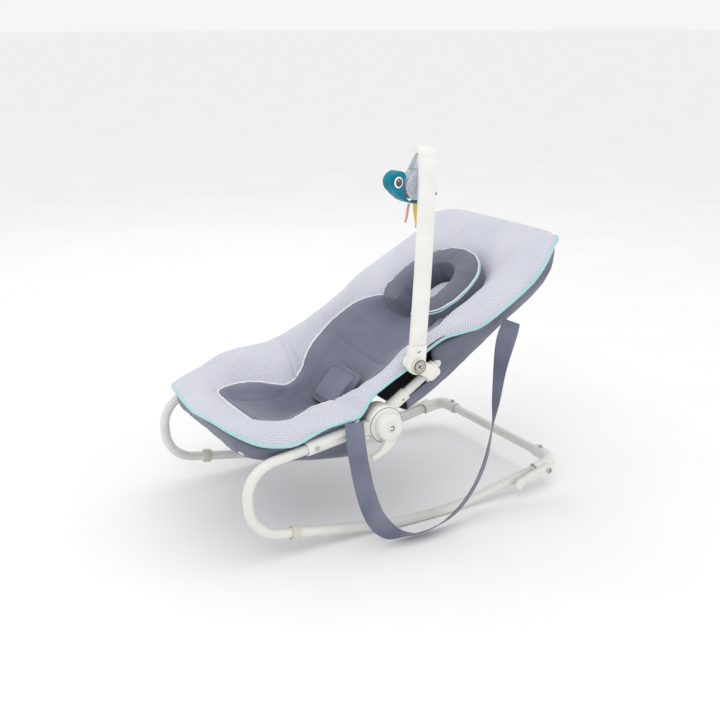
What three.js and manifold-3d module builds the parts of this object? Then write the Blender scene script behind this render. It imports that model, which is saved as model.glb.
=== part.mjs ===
// Baby bouncer seat: rocking tube base, reclining padded seat and a toy arm.
// Millimetres, +Z up, +X from the baby's feet towards the head, left side at -Y.
// The origin is the middle of the footprint, on the floor.
import * as THREE from "three";
import * as BufferGeometryUtils from "three/addons/utils/BufferGeometryUtils.js";
import Module from "manifold-3d";

const wasm = await Module();
wasm.setup();

// Driving dimensions
const GAP = 0.3; // clearance between pieces that touch
const SEAM_GAP = 1.2; // open seam under the toy arm cap
const SIDES = [["left", -1], ["right", 1]];
const RAIL_Y = 210; // centre plane of each base tube
const TUBE_R = 10;
const SEAT_TUBE_Y = 187;
const SEAT_TUBE_R = 8;
const BACK_TUBE_Y = 190;
const BACK_TUBE_R = 9;
const HUB = { x: -90, z: 228 }; // recline axis
const BACK_ANGLE = THREE.MathUtils.degToRad(33); // backrest above the horizontal at rest
const BACK_LENGTH = 515; // recline axis to the middle of the top tube
const ROCKER = { x: 11, radius: 700, front: 9.7, rear: 11, flat: 16 };
const CROSS_X = 342; // rear cross tube
const ARM_PIVOT = { x: -24, z: 335 };
const ARM_LEAN = THREE.MathUtils.degToRad(4.6);
const TOY_Y = -170;
const TOY_HANG = { x: -6, y: -187, z: 727 };
const TOY_YAW = THREE.MathUtils.degToRad(10); // the bird hangs a little turned
const BOLT_R = 4;
const BORE_R = BOLT_R + GAP;

// Finishes
const finish = (color, roughness, metalness = 0) =>
  new THREE.MeshStandardMaterial({ color, roughness, metalness });
const PAINT = finish("#dedfda", 0.35, 0.1);
const PLASTIC = finish("#e9e8e4", 0.45);
const CREAM = finish("#d9d3bf", 0.6);
const STEEL = finish("#b9bcc0", 0.35, 0.9);
const LIGHT = finish("#dfe0ea", 0.9);
const GREY = finish("#82859a", 0.9);
const DARK = finish("#2f3136", 0.85);
const TEAL = finish("#0f8fa8", 0.85);
const WING = finish("#c3c7cf", 0.9);
const YELLOW = finish("#ecdb72", 0.8);
const PINK = finish("#f2b8b4", 0.8);
const WHITE = finish("#f4f4f2", 0.6);

const seat = new THREE.Group();
const hubGroup = new THREE.Group(); // local +X runs up the backrest, +Z is the side facing the baby
hubGroup.position.set(HUB.x, 0, HUB.z);
hubGroup.rotation.y = -BACK_ANGLE;
const armGroup = new THREE.Group(); // local +Z runs up the toy arm
armGroup.position.set(ARM_PIVOT.x, 0, ARM_PIVOT.z);
armGroup.rotation.y = ARM_LEAN;
const toyGroup = new THREE.Group(); // local origin in the middle of the bird
toyGroup.position.set(TOY_HANG.x - 1.3, TOY_Y, TOY_HANG.z - 64);
toyGroup.rotation.z = TOY_YAW;
seat.add(hubGroup, armGroup, toyGroup);

function addPiece(name, geometry, material, parent = seat) {
  const mesh = new THREE.Mesh(geometry, material);
  mesh.name = name;
  parent.add(mesh);
  return mesh;
}

// Joining and cutting
function toSolid(geometry) {
  const bare = geometry.clone();
  bare.deleteAttribute("normal");
  bare.deleteAttribute("uv");
  const merged = BufferGeometryUtils.mergeVertices(bare, 1e-3);
  return new wasm.Manifold(new wasm.Mesh({
    numProp: 3,
    vertProperties: Float32Array.from(merged.attributes.position.array),
    triVerts: Uint32Array.from(merged.index.array),
  }));
}

function fromSolid(solid) {
  const mesh = solid.getMesh();
  const geometry = new THREE.BufferGeometry();
  geometry.setAttribute("position", new THREE.BufferAttribute(mesh.vertProperties, 3));
  geometry.setIndex(new THREE.BufferAttribute(mesh.triVerts, 1));
  geometry.computeVertexNormals();
  return geometry;
}

function combine(bodies, cuts = []) {
  let solid = toSolid(bodies[0]);
  for (const body of bodies.slice(1)) solid = solid.add(toSolid(body));
  for (const cut of cuts) solid = solid.subtract(toSolid(cut));
  return fromSolid(solid);
}

// Basic forms
const point = (x, y, z) => new THREE.Vector3(x, y, z);

function circleShape(radius, sides) {
  const shape = new THREE.Shape();
  for (let i = 0; i < sides; i++) {
    const angle = ((i + 0.5) / sides) * 2 * Math.PI;
    const move = i === 0 ? "moveTo" : "lineTo";
    shape[move](radius * Math.cos(angle), radius * Math.sin(angle));
  }
  return shape;
}

function sweep(path, radius, steps, sides = 12) {
  return new THREE.ExtrudeGeometry(circleShape(radius, sides), {
    extrudePath: path, steps, bevelEnabled: false,
  });
}

// A round bar between two points
function bar(from, to, radius, sides = 16) {
  const geometry = new THREE.CylinderGeometry(radius, radius, from.distanceTo(to), sides);
  const turn = new THREE.Quaternion().setFromUnitVectors(
    point(0, 1, 0), to.clone().sub(from).normalize());
  geometry.applyQuaternion(turn);
  const middle = from.clone().add(to).multiplyScalar(0.5);
  return geometry.translate(middle.x, middle.y, middle.z);
}

// A turned piece on an axis along Y through (x, z); profile rows are [radius, |y|]
function turned(profile, side, x, z, segments = 28) {
  const rows = profile.map(([radius, y]) => new THREE.Vector2(radius, y * side));
  if (side < 0) rows.reverse();
  const geometry = new THREE.LatheGeometry(rows, segments);
  return geometry.translate(x, 0, z);
}

// A flat shape drawn in X-Z and given thickness from |y| near to |y| far
function plate(shape, side, near, far, bevel = 0, curveSegments = 8) {
  const geometry = new THREE.ExtrudeGeometry(shape, {
    depth: far - near - 2 * bevel,
    bevelEnabled: bevel > 0,
    bevelThickness: bevel,
    bevelSize: bevel,
    bevelOffset: -bevel,
    bevelSegments: 1,
    curveSegments,
  });
  geometry.rotateX(Math.PI / 2); // shape Y becomes Z, depth runs to -Y
  const start = side < 0 ? -near - bevel : far - bevel;
  return geometry.translate(0, start, 0);
}

function outline(points) {
  return new THREE.Shape(points.map(([x, z]) => new THREE.Vector2(x, z)));
}

function smoothOutline(points) {
  const shape = new THREE.Shape();
  const curve = new THREE.SplineCurve([...points, points[0]].map(([x, z]) => new THREE.Vector2(x, z)));
  shape.setFromPoints(curve.getSpacedPoints(points.length * 3).slice(0, -1));
  return shape;
}

// Straight runs joined by arcs: each corner is [x, y, z, bend radius]
function bentPath(corners) {
  const path = new THREE.CurvePath();
  const at = corners.map(([x, y, z]) => point(x, y, z));
  let from = at[0];
  for (let i = 1; i < at.length - 1; i++) {
    const into = at[i].clone().sub(at[i - 1]).normalize();
    const out = at[i + 1].clone().sub(at[i]).normalize();
    const half = into.angleTo(out) / 2;
    const back = corners[i][3] * Math.tan(half);
    const start = at[i].clone().addScaledVector(into, -back);
    const end = at[i].clone().addScaledVector(out, back);
    path.add(new THREE.LineCurve3(from, start));
    path.add(arcBetween(start, at[i], end, corners[i][3], half));
    from = end;
  }
  path.add(new THREE.LineCurve3(from, at[at.length - 1]));
  return path;
}

function arcBetween(start, corner, end, radius, half) {
  const arc = new THREE.Curve();
  const toCentre = start.clone().add(end).multiplyScalar(0.5).sub(corner).normalize();
  const centre = corner.clone().addScaledVector(toCentre, radius / Math.cos(half));
  const first = start.clone().sub(centre);
  const turn = new THREE.Quaternion();
  const normal = first.clone().cross(end.clone().sub(centre)).normalize();
  arc.getPoint = (t, target = new THREE.Vector3()) =>
    target.copy(first).applyQuaternion(turn.setFromAxisAngle(normal, 2 * half * t)).add(centre);
  return arc;
}

// A closed skin through rings of points that all have the same count
function skin(rings) {
  const count = rings[0].length;
  const index = [];
  for (let r = 0; r < rings.length - 1; r++) {
    for (let i = 0; i < count; i++) {
      const a = r * count + i;
      const b = r * count + ((i + 1) % count);
      index.push(a, b, b + count, a, b + count, a + count);
    }
  }
  const last = (rings.length - 1) * count;
  for (const [a, b, c] of capFaces(rings[0])) index.push(a, c, b, last + a, last + b, last + c);
  const geometry = new THREE.BufferGeometry();
  geometry.setAttribute("position", new THREE.Float32BufferAttribute(
    rings.flat().flatMap((p) => [p.x, p.y, p.z]), 3));
  geometry.setIndex(index);
  if (toSolid(geometry).volume() < 0) geometry.setIndex(turnedOver(index));
  return geometry;
}

// Triangles that fill one ring, wound the same way as the ring itself
function capFaces(ring) {
  const normal = point(0, 0, 0);
  ring.forEach((p, i) => normal.add(p.clone().cross(ring[(i + 1) % ring.length])));
  const across = ring[1].clone().sub(ring[0]).normalize();
  const up = normal.normalize().clone().cross(across);
  const flat = ring.map((p) => new THREE.Vector2(p.dot(across), p.dot(up)));
  return THREE.ShapeUtils.triangulateShape(flat, []);
}

function turnedOver(index) {
  const flipped = [];
  for (let i = 0; i < index.length; i += 3) flipped.push(index[i], index[i + 2], index[i + 1]);
  return flipped;
}

// Base: two bent tubes, a cross tube, two corner elbows and their feet
const UPPER_SLOPE = 0.153; // the upper limb rises towards the hub
const upperZ = (x) => 220 + UPPER_SLOPE * (x + 171);
const FRONT_RING_X = -280;
const frontSlope = Math.tan(THREE.MathUtils.degToRad(ROCKER.front));
const rearSlope = Math.tan(THREE.MathUtils.degToRad(ROCKER.rear));
const arcZ = (angle) => TUBE_R + ROCKER.radius * (1 - Math.cos(angle));
const arcEnd = (degrees, sign) => {
  const angle = THREE.MathUtils.degToRad(degrees);
  return { x: ROCKER.x + sign * (ROCKER.flat + ROCKER.radius * Math.sin(angle)), z: arcZ(angle) };
};
const FRONT_TANGENT = arcEnd(ROCKER.front, -1);
const REAR_TANGENT = arcEnd(ROCKER.rear, 1);
const frontRailZ = (x) => FRONT_TANGENT.z + frontSlope * (FRONT_TANGENT.x - x);
const rearRailZ = (x) => REAR_TANGENT.z + rearSlope * (x - REAR_TANGENT.x);
const RAIL_END_X = 312;
const TUBE_TOP_X = -143;

// The tube's centre line as points, close together in the bends
function baseTubePoints() {
  const bend = bentPath([
    [TUBE_TOP_X, 0, upperZ(TUBE_TOP_X), 0],
    [-374, 0, upperZ(-374), 62],
    [-368, 0, frontRailZ(-368), 72],
    [FRONT_TANGENT.x, 0, FRONT_TANGENT.z, 0],
  ]);
  const points = [];
  const bendSteps = [1, 9, 1, 9, 1];
  bend.curves.forEach((curve, i) => {
    for (let k = 0; k < bendSteps[i]; k++) points.push(curve.getPoint(k / bendSteps[i]));
  });
  const arcSteps = 5;
  for (let k = arcSteps; k >= 0; k--) {
    const angle = THREE.MathUtils.degToRad((ROCKER.front * k) / arcSteps);
    points.push(point(ROCKER.x - ROCKER.flat - ROCKER.radius * Math.sin(angle), 0, arcZ(angle)));
  }
  for (let k = 0; k <= arcSteps; k++) {
    const angle = THREE.MathUtils.degToRad((ROCKER.rear * k) / arcSteps);
    points.push(point(ROCKER.x + ROCKER.flat + ROCKER.radius * Math.sin(angle), 0, arcZ(angle)));
  }
  points.push(point(RAIL_END_X, 0, rearRailZ(RAIL_END_X)));
  return points;
}

// A tube in the X-Z plane with one ring of vertices at each point, a flat side facing down
function planarTube(points, radius, y, sides = 12) {
  const rings = points.map((p, i) => {
    const before = points[Math.max(i - 1, 0)];
    const after = points[Math.min(i + 1, points.length - 1)];
    const along = after.clone().sub(before).normalize();
    const across = point(-along.z, 0, along.x);
    const ring = [];
    for (let k = 0; k < sides; k++) {
      const angle = ((k + 0.5) / sides) * 2 * Math.PI;
      const out = (radius / Math.cos(Math.PI / sides)) * Math.cos(angle);
      const wide = (radius / Math.cos(Math.PI / sides)) * Math.sin(angle);
      ring.push(point(p.x + across.x * out, y + wide, p.z + across.z * out));
    }
    return ring;
  });
  return skin(rings);
}

function baseTube(side) {
  return planarTube(baseTubePoints(), TUBE_R, side * RAIL_Y);
}

const ELBOW_R = 13.5;
const ELBOW_MOUTH_X = 288;
const CROSS_MOUTH_Y = 150;
const CROSS_END_Y = 182;
const CROSS_Z = rearRailZ(CROSS_X);
const STAND = { x: 308, z: 50, near: 224.6, far: 235 };
const SCREW_R = 3;

function rearElbow(side) {
  const body = sweep(bentPath([
    [ELBOW_MOUTH_X, side * RAIL_Y, rearRailZ(ELBOW_MOUTH_X), 0],
    [CROSS_X, side * RAIL_Y, CROSS_Z, 26],
    [CROSS_X, side * CROSS_MOUTH_Y, CROSS_Z, 0],
  ]), ELBOW_R, 12, 16);
  const railBore = bar(
    point(ELBOW_MOUTH_X - 20, side * RAIL_Y, rearRailZ(ELBOW_MOUTH_X - 20)),
    point(RAIL_END_X + GAP, side * RAIL_Y, rearRailZ(RAIL_END_X + GAP)), TUBE_R + 0.7, 20);
  const crossBore = bar(point(CROSS_X, side * (CROSS_MOUTH_Y - 10), CROSS_Z),
    point(CROSS_X, side * (CROSS_END_Y + GAP), CROSS_Z), TUBE_R + GAP, 20);
  const standPad = turned([[0, 212], [11, 212], [11, STAND.near - GAP], [0, STAND.near - GAP]],
    side, STAND.x, STAND.z, 16);
  const standBore = bar(point(STAND.x, side * 221, STAND.z),
    point(STAND.x, side * 240, STAND.z), SCREW_R + GAP, 12);
  const lockBore = bar(point(CROSS_X, side * 165, CROSS_Z + ELBOW_R - 2),
    point(CROSS_X, side * 165, CROSS_Z + ELBOW_R + 6), SCREW_R + GAP, 12);
  return combine([body, standPad], [railBore, crossBore, standBore, lockBore]);
}

function crossTube() {
  return bar(point(CROSS_X, -CROSS_END_Y, CROSS_Z), point(CROSS_X, CROSS_END_Y, CROSS_Z), TUBE_R, 16);
}

function elbowScrew(side) {
  const foot = CROSS_Z + ELBOW_R - 2 + GAP;
  const rows = [[0, 0], [SCREW_R, 0], [SCREW_R, 3], [5, 3], [4, 5.5], [0, 5.5]];
  const geometry = new THREE.LatheGeometry(rows.map(([r, h]) => new THREE.Vector2(r, h)), 14);
  geometry.rotateX(Math.PI / 2);
  return geometry.translate(CROSS_X, side * 165, foot);
}

// Rubber ring that stops the front of the rail sliding
function footRing(side) {
  const half = 7.5;
  const inner = TUBE_R + 0.8;
  const rows = [[inner, -half], [13.6, -half], [14.6, 1 - half], [14.6, half - 1], [13.6, half],
    [inner, half], [inner, -half]];
  const geometry = new THREE.LatheGeometry(rows.map(([r, h]) => new THREE.Vector2(r, h)), 20);
  geometry.rotateZ(-Math.PI / 2);
  geometry.rotateY(Math.atan(frontSlope));
  return geometry.translate(FRONT_RING_X, side * RAIL_Y, frontRailZ(FRONT_RING_X));
}

// Flip-down leg that stops the seat rocking
function standLeg(side) {
  const shape = new THREE.Shape();
  shape.absarc(STAND.x, STAND.z, 12.5, -0.7 * Math.PI, 0.42 * Math.PI, false);
  shape.lineTo(262, 53);
  shape.lineTo(236, 44.5);
  shape.quadraticCurveTo(225, 42, 223, 34);
  shape.quadraticCurveTo(223, 23, 233, 21);
  shape.quadraticCurveTo(240, 21, 241, 27);
  shape.quadraticCurveTo(244, 34, 254, 35);
  const body = plate(shape, side, STAND.near, STAND.far, 1.5, 8);
  const bore = bar(point(STAND.x, side * 215, STAND.z),
    point(STAND.x, side * 245, STAND.z), SCREW_R + GAP, 14);
  return combine([body], [bore]);
}

function standScrew(side) {
  const start = 221 + GAP;
  const head = STAND.far + GAP;
  const top = head + 2.6;
  return turned([[0, start], [SCREW_R, start], [SCREW_R, head], [6.5, head], [5.5, top], [0, top]],
    side, STAND.x, STAND.z, 16);
}

// Recline hubs
const HUB_BASE = { near: 205, far: 226, radius: 37 };
const HUB_BACK = { near: 179, far: 204.2, radius: 34 };
const LEVER = { near: 227, far: 245, radius: 26 };
const CAP = { radius: 8, sunk: 3.5 };
const SLEEVE_R = 13.5;
const SLEEVE_FRONT_X = -252;
const SLEEVE_SCREW = { x: -236, foot: 221.1 };
const SEAT_SOCKET = { front: -172, back: -131, bottom: -148 };
const seatTubeZ = (x) => 216 + 0.06 * (x + 150);
const GEAR = { near: 199.2, far: 209.2, root: 18, tip: 22, teeth: 10 };

function gearShape(grow) {
  const points = [];
  for (let i = 0; i < GEAR.teeth * 4; i++) {
    const angle = (i / (GEAR.teeth * 4)) * 2 * Math.PI;
    const radius = (i % 4 < 2 ? GEAR.tip : GEAR.root) + grow;
    points.push([HUB.x + radius * Math.cos(angle), HUB.z + radius * Math.sin(angle)]);
  }
  return outline(points);
}

// Outer half of the hub, fixed to the base tube, with sockets for the base tube and the seat tube
function hubBase(side) {
  const { near, far, radius } = HUB_BASE;
  const disc = turned([[0, near], [radius - 1, near], [radius, near + 1], [radius, far - 6],
    [radius - 2.5, far - 4], [radius - 2.5, far - 1], [radius - 4, far], [0, far]], side, HUB.x, HUB.z, 32);
  const y = side * RAIL_Y;
  const sleeveEnd = -132;
  const sleeve = bar(point(SLEEVE_FRONT_X, y, upperZ(SLEEVE_FRONT_X)),
    point(sleeveEnd, y, upperZ(sleeveEnd)), SLEEVE_R, 20);
  const neck = new THREE.BoxGeometry(52, 17, 25);
  neck.rotateY(-Math.atan(UPPER_SLOPE));
  neck.translate(-124, side * (near + 9), upperZ(-124) - 1);
  const socket = bar(point(SEAT_SOCKET.front, side * SEAT_TUBE_Y, seatTubeZ(SEAT_SOCKET.front)),
    point(SEAT_SOCKET.back, side * SEAT_TUBE_Y, seatTubeZ(SEAT_SOCKET.back)), SEAT_TUBE_R + 3, 16);
  const web = new THREE.BoxGeometry(30, 22, 14);
  web.translate(-150, side * 196, 219);
  const tubeBore = bar(point(SLEEVE_FRONT_X - 20, y, upperZ(SLEEVE_FRONT_X - 20)),
    point(TUBE_TOP_X + GAP, y, upperZ(TUBE_TOP_X + GAP)), TUBE_R + 0.7, 20);
  const seatBore = bar(
    point(SEAT_SOCKET.front - 10, side * SEAT_TUBE_Y, seatTubeZ(SEAT_SOCKET.front - 10)),
    point(SEAT_SOCKET.bottom + GAP, side * SEAT_TUBE_Y, seatTubeZ(SEAT_SOCKET.bottom)),
    SEAT_TUBE_R + 0.5, 16);
  const gearPocket = plate(gearShape(0.5), side, near - 5, 214.6);
  const boltBore = bar(point(HUB.x, side * 195, HUB.z), point(HUB.x, side * 240, HUB.z), BORE_R, 16);
  const screwZ = upperZ(SLEEVE_SCREW.x);
  const screwBore = bar(point(SLEEVE_SCREW.x, side * SLEEVE_SCREW.foot, screwZ),
    point(SLEEVE_SCREW.x, side * (RAIL_Y + 20), screwZ), SCREW_R + GAP, 12);
  return combine([disc, sleeve, neck, socket, web], [tubeBore, seatBore, gearPocket, boltBore, screwBore]);
}

function sleeveScrew(side) {
  const foot = SLEEVE_SCREW.foot + GAP;
  const seatY = foot + 2.6;
  const top = foot + 4.2;
  return turned([[0, foot], [SCREW_R, foot], [SCREW_R, seatY], [4.6, seatY], [3.8, top], [0, top]],
    side, SLEEVE_SCREW.x, upperZ(SLEEVE_SCREW.x), 14);
}

// Inner half of the hub, turning with the backrest; built in the backrest's frame
function hubBack(side) {
  const { near, far, radius } = HUB_BACK;
  const disc = turned([[0, near], [radius - 3, near], [radius, near + 3], [radius, far], [0, far]],
    side, 0, 0, 32);
  const y = side * BACK_TUBE_Y;
  const stub = bar(point(10, y, 0), point(76, y, 0), BACK_TUBE_R + 3.6, 20);
  const tubeBore = bar(point(46 - GAP, y, 0), point(90, y, 0), BACK_TUBE_R + 0.4, 20);
  const floor = GEAR.near - GAP;
  const wall = GEAR.tip + 1;
  const gearRecess = turned([[0, floor], [wall, floor], [wall, far + 5], [0, far + 5]], side, 0, 0, 28);
  const boltBore = bar(point(0, side * 170, 0), point(0, side * 215, 0), BORE_R, 16);
  const buttonBore = bar(point(62, side * (BACK_TUBE_Y + 7), 0), point(62, side * 215, 0), 3, 12);
  return combine([disc, stub], [tubeBore, gearRecess, boltBore, buttonBore]);
}

function lockGear(side) {
  const body = plate(gearShape(0), side, GEAR.near, GEAR.far);
  const bore = bar(point(HUB.x, side * 190, HUB.z), point(HUB.x, side * 220, HUB.z), BORE_R, 16);
  return combine([body], [bore]);
}

function pivotBolt(side) {
  const head = HUB_BACK.near - GAP;
  const end = LEVER.far - 5;
  return turned([[0, head - 4], [7, head - 4], [7, head], [BOLT_R, head], [BOLT_R, end], [0, end]],
    side, HUB.x, HUB.z, 16);
}

// Squeeze lever with a hooked tail that hangs forward and down
function reclineLever(side) {
  const { near, far, radius } = LEVER;
  const disc = turned([[0, near], [radius - 1, near], [radius, near + 1], [radius, far - 3],
    [radius - 3, far], [0, far]], side, HUB.x, HUB.z, 32);
  const tail = new THREE.Shape();
  tail.moveTo(HUB.x + 20, HUB.z - 12);
  tail.bezierCurveTo(HUB.x + 14, HUB.z - 30, HUB.x + 2, HUB.z - 50, HUB.x - 33, HUB.z - 59);
  tail.quadraticCurveTo(HUB.x - 41, HUB.z - 58, HUB.x - 40, HUB.z - 51);
  tail.bezierCurveTo(HUB.x - 22, HUB.z - 46, HUB.x - 12, HUB.z - 38, HUB.x - 10, HUB.z - 18);
  const hook = plate(tail, side, near + 2, far - 3, 1.5, 7);
  const boltBore = bar(point(HUB.x, side * 220, HUB.z), point(HUB.x, side * (far - 4), HUB.z), BORE_R, 16);
  const capSeat = bar(point(HUB.x, side * (far - CAP.sunk), HUB.z),
    point(HUB.x, side * (far + 5), HUB.z), CAP.radius + GAP, 20);
  return combine([disc, hook], [boltBore, capSeat]);
}

function leverCap(side) {
  const foot = LEVER.far - CAP.sunk + GAP;
  return turned([[0, foot], [CAP.radius, foot], [CAP.radius, foot + 3], [CAP.radius - 1, foot + 4],
    [0, foot + 4]], side, HUB.x, HUB.z, 20);
}

// Seat tubes
function seatTube() {
  const front = -352;
  const start = SEAT_SOCKET.bottom;
  const y = SEAT_TUBE_Y;
  const bend = 48;
  return sweep(bentPath([
    [start, -y, seatTubeZ(start), 0],
    [front, -y, seatTubeZ(front), bend],
    [front, y, seatTubeZ(front), bend],
    [start, y, seatTubeZ(start), 0],
  ]), SEAT_TUBE_R, 44, 10);
}

function backTube() {
  const start = 46;
  const y = BACK_TUBE_Y;
  const bend = 52;
  return sweep(bentPath([
    [start, -y, 0, 0],
    [BACK_LENGTH, -y, 0, bend],
    [BACK_LENGTH, y, 0, bend],
    [start, y, 0, 0],
  ]), BACK_TUBE_R, 60, 10);
}

// Padded liner: trough-shaped cross-sections with raised side bolsters.
// Columns: station, half width, rim, bolster crest, pan, underside, notch over the tube
const LEG_STATIONS = [
  [-380, 100, 238, 246, 247, 230, 232],
  [-368, 166, 234, 254, 250, 219, 221],
  [-334, 206, 228, 257, 240, 217, 219],
  [-322, 209, 227, 257, 232, 188, 219],
  [-300, 213, 227, 258, 222, 178, 220],
  [-240, 216, 236, 270, 202, 162, 226],
  [-180, 214, 246, 279, 190, 152, 235],
  [-139, 208, 250, 284, 186, 147, 242],
];
// Flat tongue of the leg pad that runs on under the baby, between the hubs
const TONGUE_STATIONS = [
  [-150, 130, 172, 180, 176, 154, 164],
  [-72, 136, 180, 190, 180, 156, 168],
];
const BACK_STATIONS = [
  [62, 198, 43, 58, -19, -46, 17],
  [100, 192, 38, 52, -28, -60, 17],
  [165, 190, 36, 50, -35, -68, 17],
  [225, 206, 28, 47, -37, -70, 17],
  [300, 222, 19, 42, -37, -70, 17],
  [400, 224, 19, 36, -34, -66, 17],
  [452, 218, 23, 34, -26, -56, 17],
  [477, 211, 26, 35, -16, -40, 17],
  [489, 205, 26, 34, 19, 12, 17],
  [540, 168, 20, 28, 22, 12, 14],
  [569.2, 100, 15, 20, 21, 11, 12.5],
];
const NOTCH_Y = 173;

function padSection([at, half, rim, crest, pan, under, notch]) {
  const shoulder = Math.min(NOTCH_Y, half - 14);
  const right = [
    [0, under], [shoulder - 10, under + 4], [shoulder, notch], [half, rim], [half - 6, (rim + crest) / 2],
    [half - 32, crest], [half - 62, crest - 4], [Math.max(half - 92, 10), pan + 6], [0, pan],
  ];
  const left = right.slice(1, -1).reverse().map(([y, z]) => [-y, z]);
  return [...right, ...left].map(([y, z]) => point(at, y, z));
}

const legPad = () => combine([skin(LEG_STATIONS.map(padSection)), skin(TONGUE_STATIONS.map(padSection))]);
const backPad = () => skin(BACK_STATIONS.map(padSection));

// Woven sling under each pad: a thin sheet a little below the pad's underside
function sling(stations, half, clear) {
  const thick = 1.6;
  return skin(stations.map(([at, , , , , under]) => [
    point(at, -half, under - clear - thick), point(at, half, under - clear - thick),
    point(at, half, under - clear), point(at, -half, under - clear),
  ]));
}
const legSling = () => sling(LEG_STATIONS.slice(3), 150, 2);
const backSling = () => sling(BACK_STATIONS.slice(0, 8), 150, 2);

// Head cushion: a horseshoe ring with a light inner pad
function headRing() {
  const shape = new THREE.Shape();
  const holeHalf = 46;
  const holeBulge = 52;
  shape.moveTo(238, -30);
  shape.bezierCurveTo(222, -60, 228, -104, 268, -117);
  shape.bezierCurveTo(330, -132, 424, -114, 428, 0);
  shape.bezierCurveTo(424, 114, 330, 132, 268, 117);
  shape.bezierCurveTo(228, 104, 222, 60, 238, 30);
  shape.bezierCurveTo(256, 34, 262, holeHalf, 292, holeHalf);
  shape.bezierCurveTo(330, holeBulge, 368, 44, 370, 0);
  shape.bezierCurveTo(368, -44, 330, -holeBulge, 292, -holeHalf);
  shape.bezierCurveTo(262, -holeHalf, 256, -34, 238, -30);
  return slab(shape, -25, 42);
}

// A shape drawn in the backrest plane, with thickness between two heights
function slab(shape, bottom, top, bevel = 0) {
  const geometry = new THREE.ExtrudeGeometry(shape, {
    depth: top - bottom - 2 * bevel,
    bevelEnabled: bevel > 0,
    bevelThickness: bevel,
    bevelSize: bevel,
    bevelOffset: -bevel,
    bevelSegments: 1,
    curveSegments: 7,
  });
  return geometry.translate(0, 0, bottom + bevel);
}

function headPad() {
  const shape = new THREE.Shape();
  shape.moveTo(244, -26);
  shape.bezierCurveTo(258, -29, 266, -41, 292, -41);
  shape.bezierCurveTo(330, -46, 363, -38, 365, 0);
  shape.bezierCurveTo(363, 38, 330, 46, 292, 41);
  shape.bezierCurveTo(266, 41, 258, 29, 244, 26);
  shape.closePath();
  return slab(shape, -29, -2, 5);
}

// Crotch flap with its waist straps and buckle
const FLAP = { x: -73.4, z: 233.6, tilt: THREE.MathUtils.degToRad(45), length: 98, half: 60 };

function crotchFlap() {
  const shape = new THREE.Shape();
  const { length, half } = FLAP;
  shape.moveTo(-length / 2, -half + 26);
  shape.quadraticCurveTo(-length / 2, -half + 12, -length / 2 + 12, -half + 8);
  shape.lineTo(length / 2 - 24, -half);
  shape.quadraticCurveTo(length / 2, -half, length / 2, -half + 24);
  shape.lineTo(length / 2, half - 24);
  shape.quadraticCurveTo(length / 2, half, length / 2 - 24, half);
  shape.lineTo(-length / 2 + 12, half - 8);
  shape.quadraticCurveTo(-length / 2, half - 12, -length / 2, half - 26);
  shape.closePath();
  const geometry = slab(shape, -6, 6, 3);
  geometry.rotateY(-FLAP.tilt);
  return geometry.translate(FLAP.x, 0, FLAP.z);
}

function waistStrap(side) {
  const rings = [[34, 213], [66, 214], [100, 217], [132, 221]].map(([y, z]) => [
    point(-91, side * y, z - 12), point(-68, side * y, z + 9),
    point(-69, side * y, z + 11), point(-92, side * y, z - 10),
  ]);
  return skin(rings);
}

function buckle() {
  const shape = outline([[-84, 199], [-54, 225], [-60, 232], [-90, 206]]);
  return plate(shape, -1, -32, 32, 1.5);
}

// Carry straps: flat webbing hung in a loop beside each rail.
// Columns: x, |y|, z of the middle, then the direction of the width
const STRAP_ROUTE = [
  [-163, 231, 249, 1, 0.05, 0.12],
  [-165, 243, 205, 1, 0.1, 0.1],
  [-163, 255, 160, 1, 0.1, 0.1],
  [-155, 264, 110, 1, 0.15, 0.25],
  [-137, 269, 62, 0.85, 0.2, 0.5],
  [-104, 272, 26, 0.45, 0.55, 0.7],
  [-58, 274, 13.5, 0.05, 0.85, 0.5],
  [-5, 273, 17, -0.2, 0.78, 0.55],
  [48, 269, 36, -0.4, 0.62, 0.68],
  [92, 262, 72, -0.62, 0.6, 0.5],
  [124, 254, 120, -0.68, 0.6, 0.4],
  [143, 246, 178, -0.6, 0.72, 0.3],
  [156, 239, 236, -0.25, 0.95, 0.1],
  [168, 232, 296, 0.05, 1, 0],
  [182, 227, 346, 0.5, 0.8, -0.2],
  [201, 222, 388, 0.95, 0.25, -0.45],
];
const STRAP = { half: 19, thick: 0.9 };

function carryStrap(side) {
  const rings = STRAP_ROUTE.map(([x, y, z, wx, wy, wz], i) => {
    const before = STRAP_ROUTE[Math.max(i - 1, 0)];
    const after = STRAP_ROUTE[Math.min(i + 1, STRAP_ROUTE.length - 1)];
    const along = point(after[0] - before[0], side * (after[1] - before[1]), after[2] - before[2]);
    along.normalize();
    const wide = point(wx, side * wy, wz);
    wide.addScaledVector(along, -wide.dot(along)).normalize();
    const up = along.clone().cross(wide);
    const centre = point(x, side * y, z);
    return [[-1, -1], [1, -1], [1, 1], [-1, 1]].map(([a, b]) =>
      centre.clone().addScaledVector(wide, a * STRAP.half).addScaledVector(up, b * STRAP.thick));
  });
  return skin(rings);
}

// Toy arm: bracket on the backrest tube, arm block, strip, tip cap, knob and screw
const BRACKET = { near: 199, far: 208, boss: 214, clamp: [124, 156] };

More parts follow.
